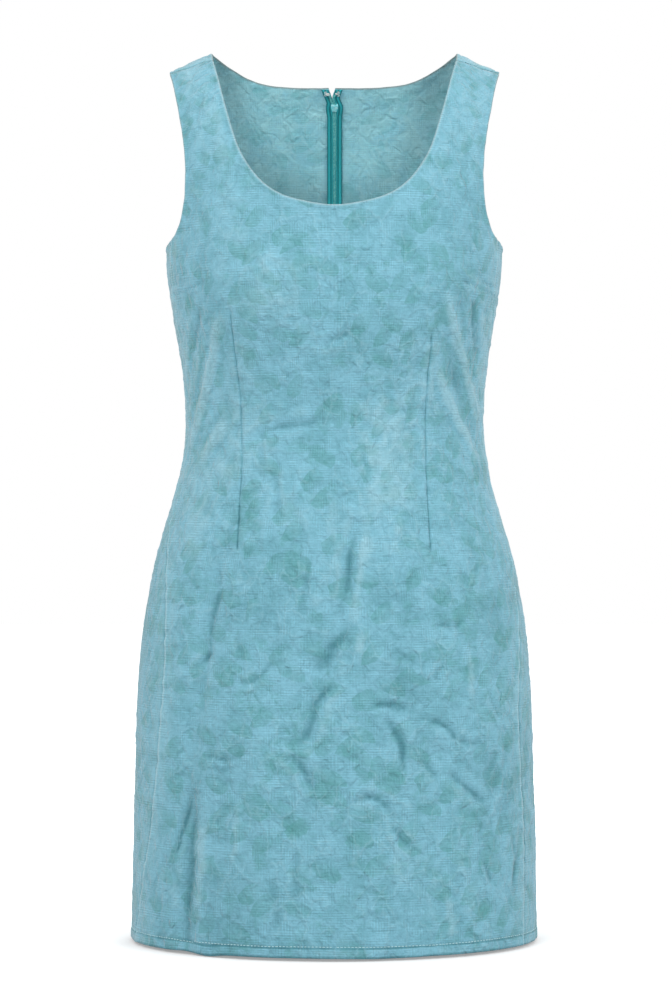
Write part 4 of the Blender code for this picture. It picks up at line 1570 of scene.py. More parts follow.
    def material(self) -> Material:
        """Makes the material.

        Returns:
            The material.
        """
        n = Nodes(self.name)
        wash = n.add("Attribute", {}, attribute_name="wash")
        parts = n.add("SeparateColor", {0: wash.outputs["Color"]}).outputs
        place, cloth = n.place(), n.place(uv=True)
        shake = n.add("TexNoise", {"Vector": place, "Scale": 95.0, "Detail": 2.0}).outputs["Color"]
        shift = n.add("VectorMath", {0: shake, 1: (0.5, 0.5, 0.5)}, operation="SUBTRACT").outputs[0]
        shift = n.add("VectorMath", {0: shift, "Scale": self.warp}, operation="SCALE").outputs[0]
        bent = n.add("VectorMath", {0: shift, "Scale": self.shape_warp / self.warp}, operation="SCALE")
        cloth = n.add("VectorMath", {0: cloth, 1: bent.outputs[0]}, operation="ADD").outputs[0]
        warped = n.add("VectorMath", {0: place, 1: shift}, operation="ADD").outputs[0]
        clouds = n.noise(place, 48, 6.0, 0.68)
        greens = n.noise(warped, 36, 6.0, 0.68)
        specks = n.noise(place, 420, 3.0, 0.7)
        share = self.print_share
        colour = n.blend(n.span(clouds, 0.38, 0.58, 0.0, 0.7 * share), self.ground, self.petal)
        colour = n.blend(n.span(greens, 0.52, 0.64, 0.0, 0.45 * share), colour, self.leaf)
        ragged = n.span(n.noise(place, 150, 4.0, 0.7), 0.38, 0.54, 0.65, 1.0)
        for turn, size, tone in (
            (1.1, self.petal_size, self.petal), (0.5, self.leaf_size, self.leaf),
            (2.6, self.petal_size, self.petal), (2.1, self.leaf_size, self.leaf),
        ):
            motifs = n.sum("MULTIPLY", self.motifs(n, cloth, turn, size, 0.55), ragged)
            colour = n.blend(n.sum("MULTIPLY", motifs, 0.54 * share), colour, tone)
        # Painted shade, darker in hollows, seams, darts, at the hem and low on the skirt, then painted
        # highlights on ridges.
        trough = n.span(parts[2], 0.5, 0.05, 0.0, self.shade_share)
        colour = n.blend(trough, colour, self.shade_tint)
        ridge = n.span(parts[2], 0.54, 0.85, 0.0, 0.55)
        colour = n.blend(ridge, colour, self.pale)
        lines = n.add("Mapping", {"Vector": warped, "Scale": (1, 1, 0.62)}).outputs[0]
        # Broken lines along creases: painted highlights, then painted shade.
        highlight_lines, ridges = self.crackle(n, lines, self.crackle_scale, 0.0010, 0.45)
        colour = n.blend(n.sum("MULTIPLY", highlight_lines, 0.22), colour, self.pale)
        shade_lines, grooves = self.crackle(n, lines, self.crackle_scale * 1.35, 0.0014, 0.42)
        colour = n.blend(n.sum("MULTIPLY", shade_lines, 0.13), colour, self.shade_tint)
        # Paler edges and shoulder band, and painted highlights on and beside the side seams.
        colour = n.blend(wash.outputs["Alpha"], colour, self.pale)
        colour = n.blend(n.sum("MULTIPLY", parts[0], 0.75), colour, self.rim)
        ribs = self.ribs(n, True, self.rib_pitch, self.rib_depth, 0.47)
        threads = self.ribs(n, False, self.thread_pitch, self.thread_depth, 0.52)
        slubs = n.noise(n.place((45, 900, 1), uv=True), 1.0, 3.0, 0.65)
        value = n.sum("ADD", ribs, threads)
        value = n.sum("ADD", value, n.sum("MULTIPLY", n.sum("SUBTRACT", slubs, 0.5), self.slub_depth))
        value = n.sum("ADD", value, n.sum("MULTIPLY", n.sum("SUBTRACT", specks, 0.5), self.speck_depth))
        if self.neck_shade:
            value = n.sum("SUBTRACT", value, self.round_neck(n, place))
        toned = {"Color": colour, "Value": n.sum("ADD", value, 1.0), "Saturation": 1.0}
        colour = n.add("HueSaturation", toned).outputs[0]
        normal = n.bump(n.noise(warped, 120, 4.0, 0.62), self.crumple, 0.8)
        normal = n.bump(n.sum("SUBTRACT", ridges, grooves), self.fold_depth, 1.0, normal)
        normal = n.bump(n.sum("ADD", value, specks), 0.0003, 0.5, normal)
        rough = n.span(slubs, 0.2, 0.8, 0.92, 0.78)
        extra = {"Sheen_Weight": self.sheen, "Sheen_Roughness": 0.45, "Specular_IOR_Level": 0.25}
        return n.finish(colour, rough, normal, **extra)


@dataclass(frozen=True)
class ThreadFinish:
    """Sewing thread, twisted and a little glossy."""

    name: str = "sewing_thread"
    light: tuple = tint(205, 236, 238)
    dark: tuple = tint(150, 200, 208)

    def material(self) -> Material:
        """Makes the material.

        Returns:
            The material.
        """
        n = Nodes(self.name)
        place = n.place()
        twist = n.noise(place, 1900, 1.0)
        colour = n.blend(n.span(twist, 0.35, 0.65), self.dark, self.light)
        faded = n.noise(place, 60, 2.0)
        colour = n.blend(n.span(faded, 0.3, 0.8, 0.0, 0.5), colour, self.light)
        normal = n.bump(twist, 0.0001, 0.6)
        return n.finish(colour, n.span(twist, 0.2, 0.8, 0.7, 0.5), normal, Specular_IOR_Level=0.4)


@dataclass(frozen=True)
class TapeFinish:
    """Woven polyester tape, striped along its length by its ribs and its edge cord."""

    name: str = "woven_tape"
    ground: tuple = tint(41, 186, 194)
    light: tuple = tint(64, 216, 221)
    dark: tuple = tint(20, 126, 138)
    width: float = 0.0072
    rib: float = 0.0007

    def material(self) -> Material:
        """Makes the material. The UV map's U is the distance from the tape's inner edge."""
        n = Nodes(self.name)
        parts = n.add("SeparateXYZ", {0: n.place(uv=True)}).outputs
        ramp = n.add("ValToRGB", {0: n.span(parts[0], 0.0, self.width)}).color_ramp
        ramp_node = n.tree.nodes[-1]
        stops = (
            (0.00, self.dark), (0.10, self.ground), (0.28, self.light), (0.38, self.dark),
            (0.50, self.dark), (0.62, self.ground), (0.80, self.light), (0.92, self.ground),
            (0.97, self.dark),
        )
        for i, (spot, colour) in enumerate(stops):
            stop = ramp.elements[i] if i < 2 else ramp.elements.new(spot)
            stop.position, stop.color = spot, colour
        twill = n.place((1 / self.rib, 1 / self.rib, 1), uv=True)
        turned = n.add("Mapping", {"Vector": twill, "Rotation": (0, 0, 0.7)}).outputs[0]
        ribs = n.add("TexWave", {"Vector": turned, "Scale": 0.5, "Distortion": 0.6}).outputs[1]
        fuzz = n.noise(n.place(), 900, 2.0)
        colour = n.blend(n.span(ribs, 0.1, 0.9, 0.0, 0.28), ramp_node.outputs[0], self.dark)
        colour = n.blend(n.span(fuzz, 0.35, 0.7, 0.0, 0.2), colour, self.light)
        normal = n.bump(ribs, 0.00012, 0.7)
        normal = n.bump(fuzz, 0.00006, 0.5, normal)
        rough = n.span(fuzz, 0.2, 0.8, 0.6, 0.8)
        return n.finish(colour, rough, normal, Sheen_Weight=0.15, Specular_IOR_Level=0.4)


@dataclass(frozen=True)
class PlasticFinish:
    """The zip's nylon coil: smooth, a little glossy, with clouded colour and fine scratches."""

    name: str = "nylon_coil"
    ground: tuple = tint(84, 186, 190)
    light: tuple = tint(124, 212, 208)

    def material(self) -> Material:
        """Makes the material.

        Returns:
            The material.
        """
        n = Nodes(self.name)
        place = n.place()
        clouds = n.noise(place, 500, 2.0)
        colour = n.blend(n.span(clouds, 0.35, 0.7), self.ground, self.light)
        scratches = n.noise(n.place((1, 1, 0.2)), 1500, 2.0)
        normal = n.bump(scratches, 0.00004, 0.4)
        rough = n.span(scratches, 0.2, 0.8, 0.28, 0.42)
        return n.finish(colour, rough, normal, Specular_IOR_Level=0.5)


@dataclass(frozen=True)
class PaintFinish:
    """Enamel on die-cast metal: glossy, rubbed through to grey metal at its edges."""

    name: str = "slider_enamel"
    ground: tuple = tint(140, 240, 248)
    light: tuple = tint(196, 252, 255)
    metal: tuple = tint(176, 182, 184)

    def material(self) -> Material:
        """Makes the material.

        Returns:
            The material.
        """
        n = Nodes(self.name)
        place = n.place()
        clouds = n.noise(place, 380, 3.0)
        colour = n.blend(n.span(clouds, 0.35, 0.7), self.ground, self.light)
        pointed = n.add("NewGeometry", {}).outputs["Pointiness"]
        chipped = n.noise(place, 1400, 3.0, 0.7)
        edge = n.sum("MULTIPLY", n.span(pointed, 0.53, 0.60), n.span(chipped, 0.45, 0.60))
        colour = n.blend(edge, colour, self.metal)
        peel = n.noise(place, 900, 1.0)
        normal = n.bump(peel, 0.00005, 0.35)
        rough = n.span(clouds, 0.3, 0.7, 0.20, 0.30)
        return n.finish(colour, rough, normal, Coat_Weight=0.25, Coat_Roughness=0.12)


@dataclass(frozen=True)
class SteelFinish:
    """Plated steel wire, bright, with fine drawing lines and tarnish in places."""

    name: str = "plated_steel"
    bright: tuple = tint(253, 253, 252)
    dull: tuple = tint(206, 204, 202)

    def material(self) -> Material:
        """Makes the material.

        Returns:
            The material.
        """
        n = Nodes(self.name)
        place = n.place()
        tarnish = n.noise(place, 900, 3.0, 0.6)
        colour = n.blend(n.span(tarnish, 0.48, 0.75, 0.0, 0.7), self.bright, self.dull)
        lines = n.noise(n.place((1, 6, 6)), 1200, 2.0)
        normal = n.bump(lines, 0.00003, 0.4)
        rough = n.span(tarnish, 0.3, 0.7, 0.18, 0.38)
        return n.finish(colour, rough, normal, Metallic=0.6)


@dataclass(frozen=True)
class FloorFinish:
    """A plain white floor, matt, slightly uneven, with a painted shadow round where the dress all but
    touches it.
    """

    name: str = "studio_floor"
    white: tuple = tint(250, 250, 250)
    shade: tuple = tint(246, 246, 247)
    bounce: tuple = tint(192, 194, 196)
    painted_shadow: tuple = tint(150, 145, 144)
    reach: Pair = (0.186, 0.132)
    painted_shadow_share: float = 0.40
    glow: float = 0.52

    def material(self) -> Material:
        """Makes the material.

        Returns:
            The material.
        """
        n = Nodes(self.name)
        clouds = n.noise(n.place(), 1.5, 2.0)
        colour = n.blend(clouds, self.white, self.shade)
        scaled = n.place((1 / self.reach[0], 1 / self.reach[1], 0))
        away = n.add("VectorMath", {0: scaled}, operation="LENGTH").outputs["Value"]
        # Painted shadow, darker towards the dress's footprint; it takes away part of the glow there too.
        near = n.span(away, 1.46, 0.96, 0.0, self.painted_shadow_share)
        colour = n.blend(near, colour, self.painted_shadow)
        seen = n.add("LightPath", {}).outputs["Is Camera Ray"]
        colour = n.blend(seen, self.bounce, colour)
        normal = n.bump(n.noise(n.place(), 60, 2.0), 0.0004, 0.1)
        lit = n.sum("MULTIPLY", n.sum("MULTIPLY", seen, self.glow), n.sum("SUBTRACT", 1.0, near))
        glow = {"Emission_Color": (1, 1, 1, 1), "Emission_Strength": lit}
        return n.finish(colour, 0.9, normal, Specular_IOR_Level=0.1, **glow)


# ---- stitches


@dataclass
class StitchRow:
    """A row of machine stitches laid along a line on the cloth."""

    name: str
    length: float = 0.0028
    gap: float = 0.0005
    radius: float = 0.00040
    rings: int = 5
    sides: int = 6
    lift: float = 0.00020

    def one(self, start: Array, end: Array, normal: Array) -> Array:
        """A stitch that dips into the cloth at both ends.

        Args:
            start: Its start.
            end: Its end.
            normal: The cloth's normal.

        Returns:
            Its points.
        """
        along = end - start
        across = np.cross(normal, along)
        across /= np.linalg.norm(across)
        made = []
        for ring in range(self.rings):
            share = ring / (self.rings - 1)
            bow = math.sin(math.pi * share)
            centre = start + along * share + normal * (self.lift + self.radius * (1.5 * bow - 1.2))
            thick = self.radius * (0.45 + 0.55 * bow**0.5)
            for k in range(self.sides):
                angle = 2 * math.pi * k / self.sides
                made.append(centre + thick * (across * math.cos(angle) + normal * math.sin(angle)))
        return np.array(made)

    def faces(self) -> list[list[int]]:
        """The faces of one stitch.

        Returns:
            Rings of its points' numbers.
        """
        made = [list(range(self.sides))]
        for ring in range(self.rings - 1):
            for k in range(self.sides):
                a, b = ring * self.sides + k, ring * self.sides + (k + 1) % self.sides
                made.append([a, a + self.sides, b + self.sides, b])
        last = (self.rings - 1) * self.sides
        made.append([last + k for k in range(self.sides)][::-1])
        return made

    def build(self, lines: list, surfaces: list[BVHTree], thread: Material) -> Object:
        """Sews along lines.

        Args:
            lines: Lines of points near the cloth.
            surfaces: The cloth's outer layers, one for each line.
            thread: The thread's material.

        Returns:
            The stitches' object.
        """
        points, faces, shape = [], [], self.faces()
        for line, surface in zip(lines, surfaces):
            length = lengths_along(line)
            pitch = self.length + self.gap
            for at in np.arange(pitch / 2, length[-1] - pitch, pitch):
                ends = [
                    np.array([np.interp(spot, length, line[:, k]) for k in range(3)])
                    for spot in (at, at + self.length)
                ]
                found = [surface.find_nearest(Vector(end)) for end in ends]
                start, end = (np.array(hit[0]) for hit in found)
                normal = np.array(found[0][1]) + np.array(found[1][1])
                normal /= np.linalg.norm(normal)
                if np.linalg.norm(end - start) < self.length / 3:
                    continue
                first = len(points) * self.rings * self.sides
                points.append(self.one(start, end, normal))
                faces += [[first + i for i in face] for face in shape]
        piece = new_piece(self.name, points, faces)
        piece.data.materials.append(thread)
        piece.data.polygons.foreach_set("use_smooth", np.ones(len(faces), bool))
        return sewn(piece)


# ---- the zip and its fastener


class Bench:
    """Steps of modelling by hand that the small hard pieces share."""

    @staticmethod
    def start(name: str, add: Callable, **sizes: object) -> Object:
        """Adds a primitive with nothing else selected, names it and starts to edit it.

        Args:
            name: Its name.
            add: The operator that adds it.
            sizes: The operator's settings.

        Returns:
            The object.
        """
        bpy.ops.object.select_all(action="DESELECT")
        add(**sizes)
        piece = bpy.context.object
        piece.name = name
        bpy.ops.object.mode_set(mode="EDIT")
        return piece

    @staticmethod
    def done() -> None:
        """Ends the editing."""
        bpy.ops.object.mode_set(mode="OBJECT")

    @staticmethod
    def move(*value: float) -> None:
        """Moves what is selected."""
        bpy.ops.transform.translate(value=value)

    @staticmethod
    def resize(value: tuple, centre: tuple = (0, 0, 0)) -> None:
        """Scales what is selected from a centre."""
        bpy.ops.transform.resize(value=value, center_override=centre)

    @staticmethod
    def choose(piece: Object, test: Callable, kind: str = "VERT") -> None:
        """Selects corners by their place, or faces by their middle and normal.

        Args:
            piece: The object in edit mode.
            test: Takes the place, and a face's normal, and says whether to select.
            kind: VERT or FACE.
        """
        bpy.ops.mesh.select_mode(type=kind)
        bpy.ops.mesh.select_all(action="DESELECT")
        shape = bmesh.from_edit_mesh(piece.data)
        if kind == "VERT":
            for corner in shape.verts:
                corner.select_set(bool(test(corner.co)))
        else:
            for face in shape.faces:
                face.select_set(bool(test(face.calc_center_median(), face.normal)))
        shape.select_flush_mode()
        bmesh.update_edit_mesh(piece.data)

    @staticmethod
    def modify(piece: Object, kind: str, **settings: object) -> None:
        """Adds a modifier and applies it.

        Args:
            piece: The object.
            kind: The modifier's type.
            settings: The modifier's settings.
        """
        bpy.context.view_layer.objects.active = piece
        modifier = piece.modifiers.new(kind.lower(), kind)
        for key, value in settings.items():
            setattr(modifier, key, value)
        bpy.ops.object.modifier_apply(modifier=modifier.name)

    @staticmethod
    def rounded(piece: Object, width: float, segments: int = 2) -> None:
        """Rounds a piece's edges."""
        Bench.modify(piece, "BEVEL", width=width, segments=segments, limit_method="ANGLE")

    @staticmethod
    def weld(piece: Object, other: Object) -> None:
        """Unites a second piece with the first."""
        Bench.modify(piece, "BOOLEAN", operation="UNION", object=other, solver="EXACT")
        bpy.data.objects.remove(other)

    @staticmethod
    def block(name: str, low: tuple, high: tuple) -> Object:
        """A cube stretched between two corners.

        Args:
            name: Its name.
            low: Its lowest corner.
            high: Its highest corner.

        Returns:
            The block.
        """
        piece = Bench.start(name, bpy.ops.mesh.primitive_cube_add, size=1)
        Bench.resize([b - a for a, b in zip(low, high)])
        Bench.move(*((a + b) / 2 for a, b in zip(low, high)))
        Bench.done()
        return piece

    @staticmethod
    def wire(name: str, path: list, radius: float, sides: int = 4) -> Object:
        """A bent wire with closed ends, as a mesh.

        Args:
            name: Its name.
            path: The points that it follows.
            radius: Its radius.
            sides: How round it is.

        Returns:
            The wire.
        """
        bpy.ops.object.select_all(action="DESELECT")
        bpy.ops.curve.primitive_nurbs_path_add()
        piece = bpy.context.object
        piece.name = name
        curve = piece.data
        curve.splines.clear()
        spline = curve.splines.new("POLY")
        spline.points.add(len(path) - 1)
        for point, place in zip(spline.points, path):
            point.co = (*place, 1)
        curve.dimensions = "3D"
        curve.bevel_depth = radius
        curve.bevel_resolution = sides
        curve.use_fill_caps = True
        bpy.ops.object.convert(target="MESH")
        return bpy.context.object

    @staticmethod
    def finish(
        piece: Object, frame: Matrix, material: Material, node: str, slot: str, body: str = DRESS
    ) -> None:
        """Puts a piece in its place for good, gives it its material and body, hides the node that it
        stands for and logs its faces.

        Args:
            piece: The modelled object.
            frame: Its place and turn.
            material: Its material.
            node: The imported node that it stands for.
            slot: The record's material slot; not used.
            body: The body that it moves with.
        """
        bpy.ops.object.select_all(action="DESELECT")
        piece.select_set(True)
        bpy.context.view_layer.objects.active = piece
        piece.matrix_world = frame
        bpy.ops.object.transform_apply(location=True, rotation=True, scale=True)
        bpy.ops.object.mode_set(mode="EDIT")
        bpy.ops.mesh.select_all(action="SELECT")
        bpy.ops.mesh.remove_doubles(threshold=0.000002)
        bpy.ops.mesh.normals_make_consistent(inside=False)
        Bench.done()
        bpy.ops.object.shade_smooth_by_angle(angle=math.radians(40))
        piece.data.materials.clear()
        piece.data.materials.append(material)
        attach(piece, body)
        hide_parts(node)
        LOG.info("%s: %d faces", piece.name, len(piece.data.polygons))


@dataclass
class Zip:
    """The centre-back zip: two tapes, a coil, a slider and its pull tab.

    Lengths across are from the centre line, and depths are from the middle of the cloth,
    inwards below 0.
    """

    bottom: float = -0.545
    slider_height: float = -0.0425
    tape_width: float = 0.0072
    tape_depth: float = -0.00185
    tape_thickness: float = 0.0007
    tape_top: Pair = (-0.0264, -0.075)
    tape_middle: float = -0.077
    tape_shares: tuple = (0, 0.03, 0.08, 0.13, 0.18, 0.28, 0.36, 0.42, 0.50, 0.62, 0.76, 0.90, 0.97, 1)
    bead: Ridge = Ridge(0.00042, 0.09, 0.07)
    rib: Ridge = Ridge(0.00012, 0.62, 0.10)
    groove: Ridge = Ridge(-0.00014, 0.42, 0.05)
    cloth_back: float = -0.0009
    coil_depth: float = -0.00345
    tooth_pitch: float = 0.00127
    tooth_radius: float = 0.00042
    tooth_reach: float = 0.0017
    tooth_overlap: float = 0.00042
    coil_top: float = -0.0300
    slider_face: float = -0.00265
    slider_depth: float = 0.0026
    slider_length: float = 0.0074
    slider_shift: float = -0.0017
    slider_top: float = 0.0068
    slider_end: float = 0.0046
    neck_half: float = 0.0005
    neck_length: float = 0.0026
    bridge_reach: float = 0.0022
    bridge_foot: float = 0.00105
    bridge_leg: float = 0.00085
    hinge: float = 0.0024
    arm_place: float = 0.0015
    arm_length: float = 0.0039
    wire_radius: float = 0.0005
    tab_length: float = 0.0215
    tab_width: float = 0.0048
    tab_shoulder: float = 0.0034
    tab_hole: float = 0.0009
    tab_thickness: float = 0.0011
    creasing: Creasing = field(default_factory=Creasing)

    @staticmethod
    def frame_at(height: float) -> Matrix:
        """A frame on the centre-back line: X across, Y down the cloth, Z out of it.

        Args:
            height: Its height.

        Returns:
            The frame.
        """
        run = np.array(FORM.place_of("back", 0.0, height)[1])
        point = FORM.point(np.array(math.pi), run)
        below = FORM.point(np.array(math.pi), run + 0.002)
        down = Vector(below - point).normalized()
        across = Vector((1, 0, 0))
        out = across.cross(down)
        if out.y < 0:
            out, across = -out, -across
        frame = Matrix((across, down, out)).transposed().to_4x4()
        frame.translation = Vector(leaned(point))
        return frame

    def laid(self, offsets: Array, heights: Array, side: int, depths: Array) -> Array:
        """Points beside the centre line.

        Args:
            offsets: Distances across.
            heights: Heights on the centre line.
            side: 1 at +X and -1 at -X.
            depths: Distances out of the cloth's middle.

        Returns:
            The points.
        """
        runs = np.interp(-heights, self.known_drops, self.known_runs)
        turns = math.pi - np.sign(offsets) * FORM.turn_across(np.abs(offsets), heights)
        step = 4e-4
        down = FORM.point(turns, runs + step) - FORM.point(turns, runs - step)
        round_body = FORM.point(turns + step, runs) - FORM.point(turns - step, runs)
        normal = np.cross(down, round_body)
        normal /= np.linalg.norm(normal, axis=-1, keepdims=True)
        around = side * turns * FORM.girth_radius
        rise = self.creasing.folds(around, heights) + depths
        return leaned((FORM.point(turns, runs) + normal * rise[..., None]) * (side, 1, 1))

    def __post_init__(self) -> None:
        """Tabulates the run of each height on the centre-back line."""
        self.known_runs = np.linspace(0.0, 0.8, 3200)
        self.known_drops = -FORM.height_at(0.0, self.known_runs)

    def half_gap(self, heights: Array) -> Array:
        """Half of the opening between the panels."""
        return np.maximum(ZIP_OPENING.at("half_gap", heights), 0.00015)

    def tape(self, side: Side, material: Material) -> Object:
        """A tape from the neckline to the zip's end, with a beaded edge.

        Args:
            side: The tape's side.
            material: Its material.

        Returns:
            The tape.
        """
        top, middle = self.tape_top, self.tape_middle
        heights = np.concatenate([np.linspace(*top, 41), np.linspace(middle, self.bottom, 196)])
        share = np.array(self.tape_shares)
        half = self.tape_thickness / 2 * np.where((share == 0) | (share == 1), 0.45, 1.0)
        half += sum(line.at(share) for line in (self.bead, self.rib, self.groove))
        grid_height, grid_share = np.meshgrid(heights, share, indexing="ij")
        offsets = self.half_gap(grid_height) + grid_share * self.tape_width
        noise = LatticeNoise(91 + side.value)
        wave = 0.00016 * noise.at(grid_height, grid_share * 0.02, 0.013)
        outer, inner = (self.tape_depth + wave + sign * half[None, :] for sign in (1, -1))
        layers = [
            self.laid(offsets, grid_height, side.value, depths).reshape(-1, 3)
            for depths in (np.minimum(outer, self.cloth_back), inner)
        ]
        rows, columns = grid_height.shape
        index = np.arange(rows * columns).reshape(rows, columns)
        faces = []
        for layer, flip in ((0, side is Side.LEFT), (1, side is Side.RIGHT)):
            base = index + layer * index.size
            corners = [base[:-1, :-1], base[1:, :-1], base[1:, 1:], base[:-1, 1:]]
            quads = np.stack(corners, axis=-1).reshape(-1, 4)
            faces += (quads[:, ::-1] if flip else quads).tolist()
        loop = [*index[0, :], *index[1:, -1], *index[-1, -2::-1], *index[-2:0:-1, 0]]
        for a, b in zip(loop, loop[1:] + loop[:1]):
            ring = [a, b, b + index.size, a + index.size]
            faces.append(ring[::-1] if side is Side.LEFT else ring)
        label = side.name.lower()
        piece = new_piece(f"tape_{label}", layers, faces)
        along = np.stack([grid_share * self.tape_width, grid_height], axis=-1).reshape(-1, 2)
        lay_flat(piece.data, np.tile(along, (2, 1)))
        Bench.finish(piece, Matrix.Identity(4), material, f"zip_tape_{label}", "zip_tape")
        return piece

    def tooth(self) -> Object:
        """One loop of the coil, lying across with its rounded head at +X.

        Returns:
            The loop.
        """
        radius, reach, overlap = self.tooth_radius, self.tooth_reach, self.tooth_overlap
        add = bpy.ops.mesh.primitive_cylinder_add
        piece = Bench.start("tooth", add, vertices=7, radius=radius, depth=reach + overlap)
        bpy.ops.mesh.select_all(action="SELECT")
        bpy.ops.transform.rotate(value=math.pi / 2, orient_axis="Y", center_override=(0, 0, 0))
        Bench.move((overlap - reach) / 2, 0, 0)
        Bench.choose(piece, lambda place, normal: abs(normal.x) > 0.9, "FACE")
        bpy.ops.mesh.extrude_region_move(TRANSFORM_OT_translate={"value": (0, 0, 0)})
        Bench.choose(piece, lambda place: place.x > 0)
        Bench.resize((1, 1.25, 1.15))
        Bench.choose(piece, lambda place, normal: normal.x > 0.9, "FACE")
        Bench.resize((1, 0.55, 0.55), (overlap, 0, 0))
        Bench.move(radius * 0.35, 0, 0)
        Bench.done()
        return piece

    def coil(self, material: Material) -> Object:
        """The coil: loops of both sides in turn below the slider, and apart above it.

        Args:
            material: Its material.

        Returns:
            The coil.
        """
        model = self.tooth()
        corners = np.array([tuple(v.co) for v in model.data.vertices])
        shape = [list(p.vertices) for p in model.data.polygons]
        bpy.data.objects.remove(model)
        marks = (self.slider_height, self.bottom + 0.004, self.coil_top)
        start, end, top = (FORM.place_of("back", 0.0, height)[1] for height in marks)
        closed = np.arange(start - 0.001, end, self.tooth_pitch)
        opened = np.arange(start - 0.0015, top, -self.tooth_pitch)
        points, faces = [], []
        for side in (-1, 1):
            shift = self.tooth_pitch / 2 if side > 0 else 0.0
            heights = FORM.height_at(0.0, np.concatenate([closed, opened]) + shift)
            gaps = self.half_gap(heights) + 0.0005
            gaps[: len(closed)] = 0.0
            for height, gap in zip(heights, gaps):
                frame = self.frame_at(height)
                outwards = side if frame[0][0] > 0 else -side
                local = corners * (-outwards, 1, 1) + (outwards * gap, 0, self.coil_depth)
                first = len(points) * len(corners)
                points.append(local @ np.array(frame.to_3x3()).T + np.array(frame.translation))
                faces += [[first + i for i in face] for face in shape]
        piece = new_piece("coil", points, faces)
        Bench.finish(piece, Matrix.Identity(4), material, "zip_coil", "zip_coil")
        return piece

    def slider(self, material: Material) -> Object:
        """The slider: a two-lobed body inside, a neck through the slit and an arched bridge.

        Args:
            material: Its material.

        Returns:
            The slider.
        """
        half, top = self.slider_length / 2, self.slider_top / 2
        low, high = self.slider_face - self.slider_depth, self.slider_face
        body = Bench.block("slider", (-top, -half, low), (top, half, high))
        bpy.ops.object.mode_set(mode="EDIT")
        bpy.ops.mesh.select_all(action="SELECT")
        bpy.ops.mesh.subdivide(number_cuts=5)
        cheek, taper = -half / 4, self.slider_end / self.slider_top
        step = self.slider_length / 6
        for row in range(7):
            y = -half + row * step
            if y > cheek:
                narrow = 1 + (taper - 1) * (y - cheek) / (half - cheek)
                Bench.choose(body, lambda place: abs(place.y - y) < step / 4)
                Bench.resize((narrow, 1, 1), (0, y, 0))
        near = 0.0001
        for test, *shift in (
            (lambda place: place.z < low + near and abs(place.x) < 0.0002, 0, 0, 0.00075),
            (lambda place: place.z < low + near and 0.0008 < abs(place.x) < 0.0027, 0, 0, -0.00030),
            (lambda place: place.y < -half + near and abs(place.x) < 0.0002, 0, 0.0013, 0),
            (lambda place: abs(place.x) > top - 0.0002 and place.y < cheek, 0, 0, 0.00035),
            (lambda place: True, 0, self.slider_shift, 0),
        ):
            Bench.choose(body, test)
            Bench.move(*shift)
        Bench.done()
        Bench.modify(body, "SUBSURF", levels=1, render_levels=1)
        thin, long = self.neck_half * 0.96, self.neck_length / 2
        foot, reach = self.bridge_foot, self.bridge_reach
        neck = Bench.block("slider_neck", (-thin, -long, high - 0.0006), (thin, long, foot + 0.0004))
        Bench.rounded(neck, 0.00012)
        Bench.weld(body, neck)
        curve = self.wire_radius * 0.95
        centre, radius = foot + self.bridge_leg, reach - curve
        angles = np.linspace(math.pi, 0, 17)
        path = [(0, radius * math.cos(a), centre + radius * math.sin(a)) for a in angles]
        path = [(0, -radius, foot + curve * 0.2), (0, -radius, centre), *path[1:-1]]
        path += [(0, -y, z) for _, y, z in path[1::-1]]
        bridge = Bench.wire("slider_bridge", path, curve)
        base = Bench.block("slider_base", (-thin, -reach, foot - 0.00005), (thin, reach, foot + 0.0007))
        Bench.rounded(base, 0.00018)
        Bench.weld(bridge, base)
        Bench.weld(body, bridge)
        Bench.finish(body, self.frame_at(self.slider_height), material, "zip_slider", "slider_paint")
        return body

    def pull_tab(self, material: Material) -> Object:
        """The pull tab: a stirrup of wire in the bridge, and a long plate with a hole.

        Args:
            material: Its material.

        Returns:
            The pull tab.
        """
        half, hole = self.tab_width / 2, self.tab_hole
        tip, start = self.tab_length - half, self.arm_length - 0.0005
        sizes = {"vertices": 32, "radius": half, "depth": self.tab_thickness}
        plate = Bench.start("pull_tab", bpy.ops.mesh.primitive_cylinder_add, **sizes)
        Bench.move(0, tip, 0)

        def far(place: Vector) -> float:
            """How far a place is from the hole's middle."""
            return math.hypot(place.x, place.y - tip)

        Bench.choose(plate, lambda place, normal: abs(normal.z) > 0.9, "FACE")
        bpy.ops.mesh.inset(thickness=half - hole, use_even_offset=False)
        bpy.ops.mesh.delete(type="FACE")
        Bench.choose(plate, lambda place: far(place) < hole * 1.3)
        bpy.ops.mesh.bridge_edge_loops()
        Bench.choose(plate, lambda place, normal: normal.y < -0.05 and far(place) > half * 0.8, "FACE")
        bpy.ops.mesh.extrude_region_move(TRANSFORM_OT_translate={"value": (0, 0, 0)})
        Bench.resize((self.tab_shoulder / self.tab_width, 0, 1), (0, start, 0))
        Bench.done()
        Bench.rounded(plate, 0.00022, 3)
        x, bend, foot = self.arm_place, 0.0007, start + 0.0008
        corner = [(1 - math.cos(a), 1 - math.sin(a)) for a in np.linspace(0, math.pi / 2, 6)]
        left = [(-x, foot, 0), *((-x + bend * u, bend * v, 0) for u, v in corner)]
        path = left + [(-px, py, 0) for px, py, _ in left[::-1]]
        Bench.weld(plate, Bench.wire("stirrup", path, self.wire_radius * 0.98))
        frame = self.frame_at(self.slider_height) @ Matrix.Translation((0, 0, self.hinge))
        Bench.finish(plate, frame, material, "zip_pull_tab", "slider_paint", PULL_TAB)
        return plate


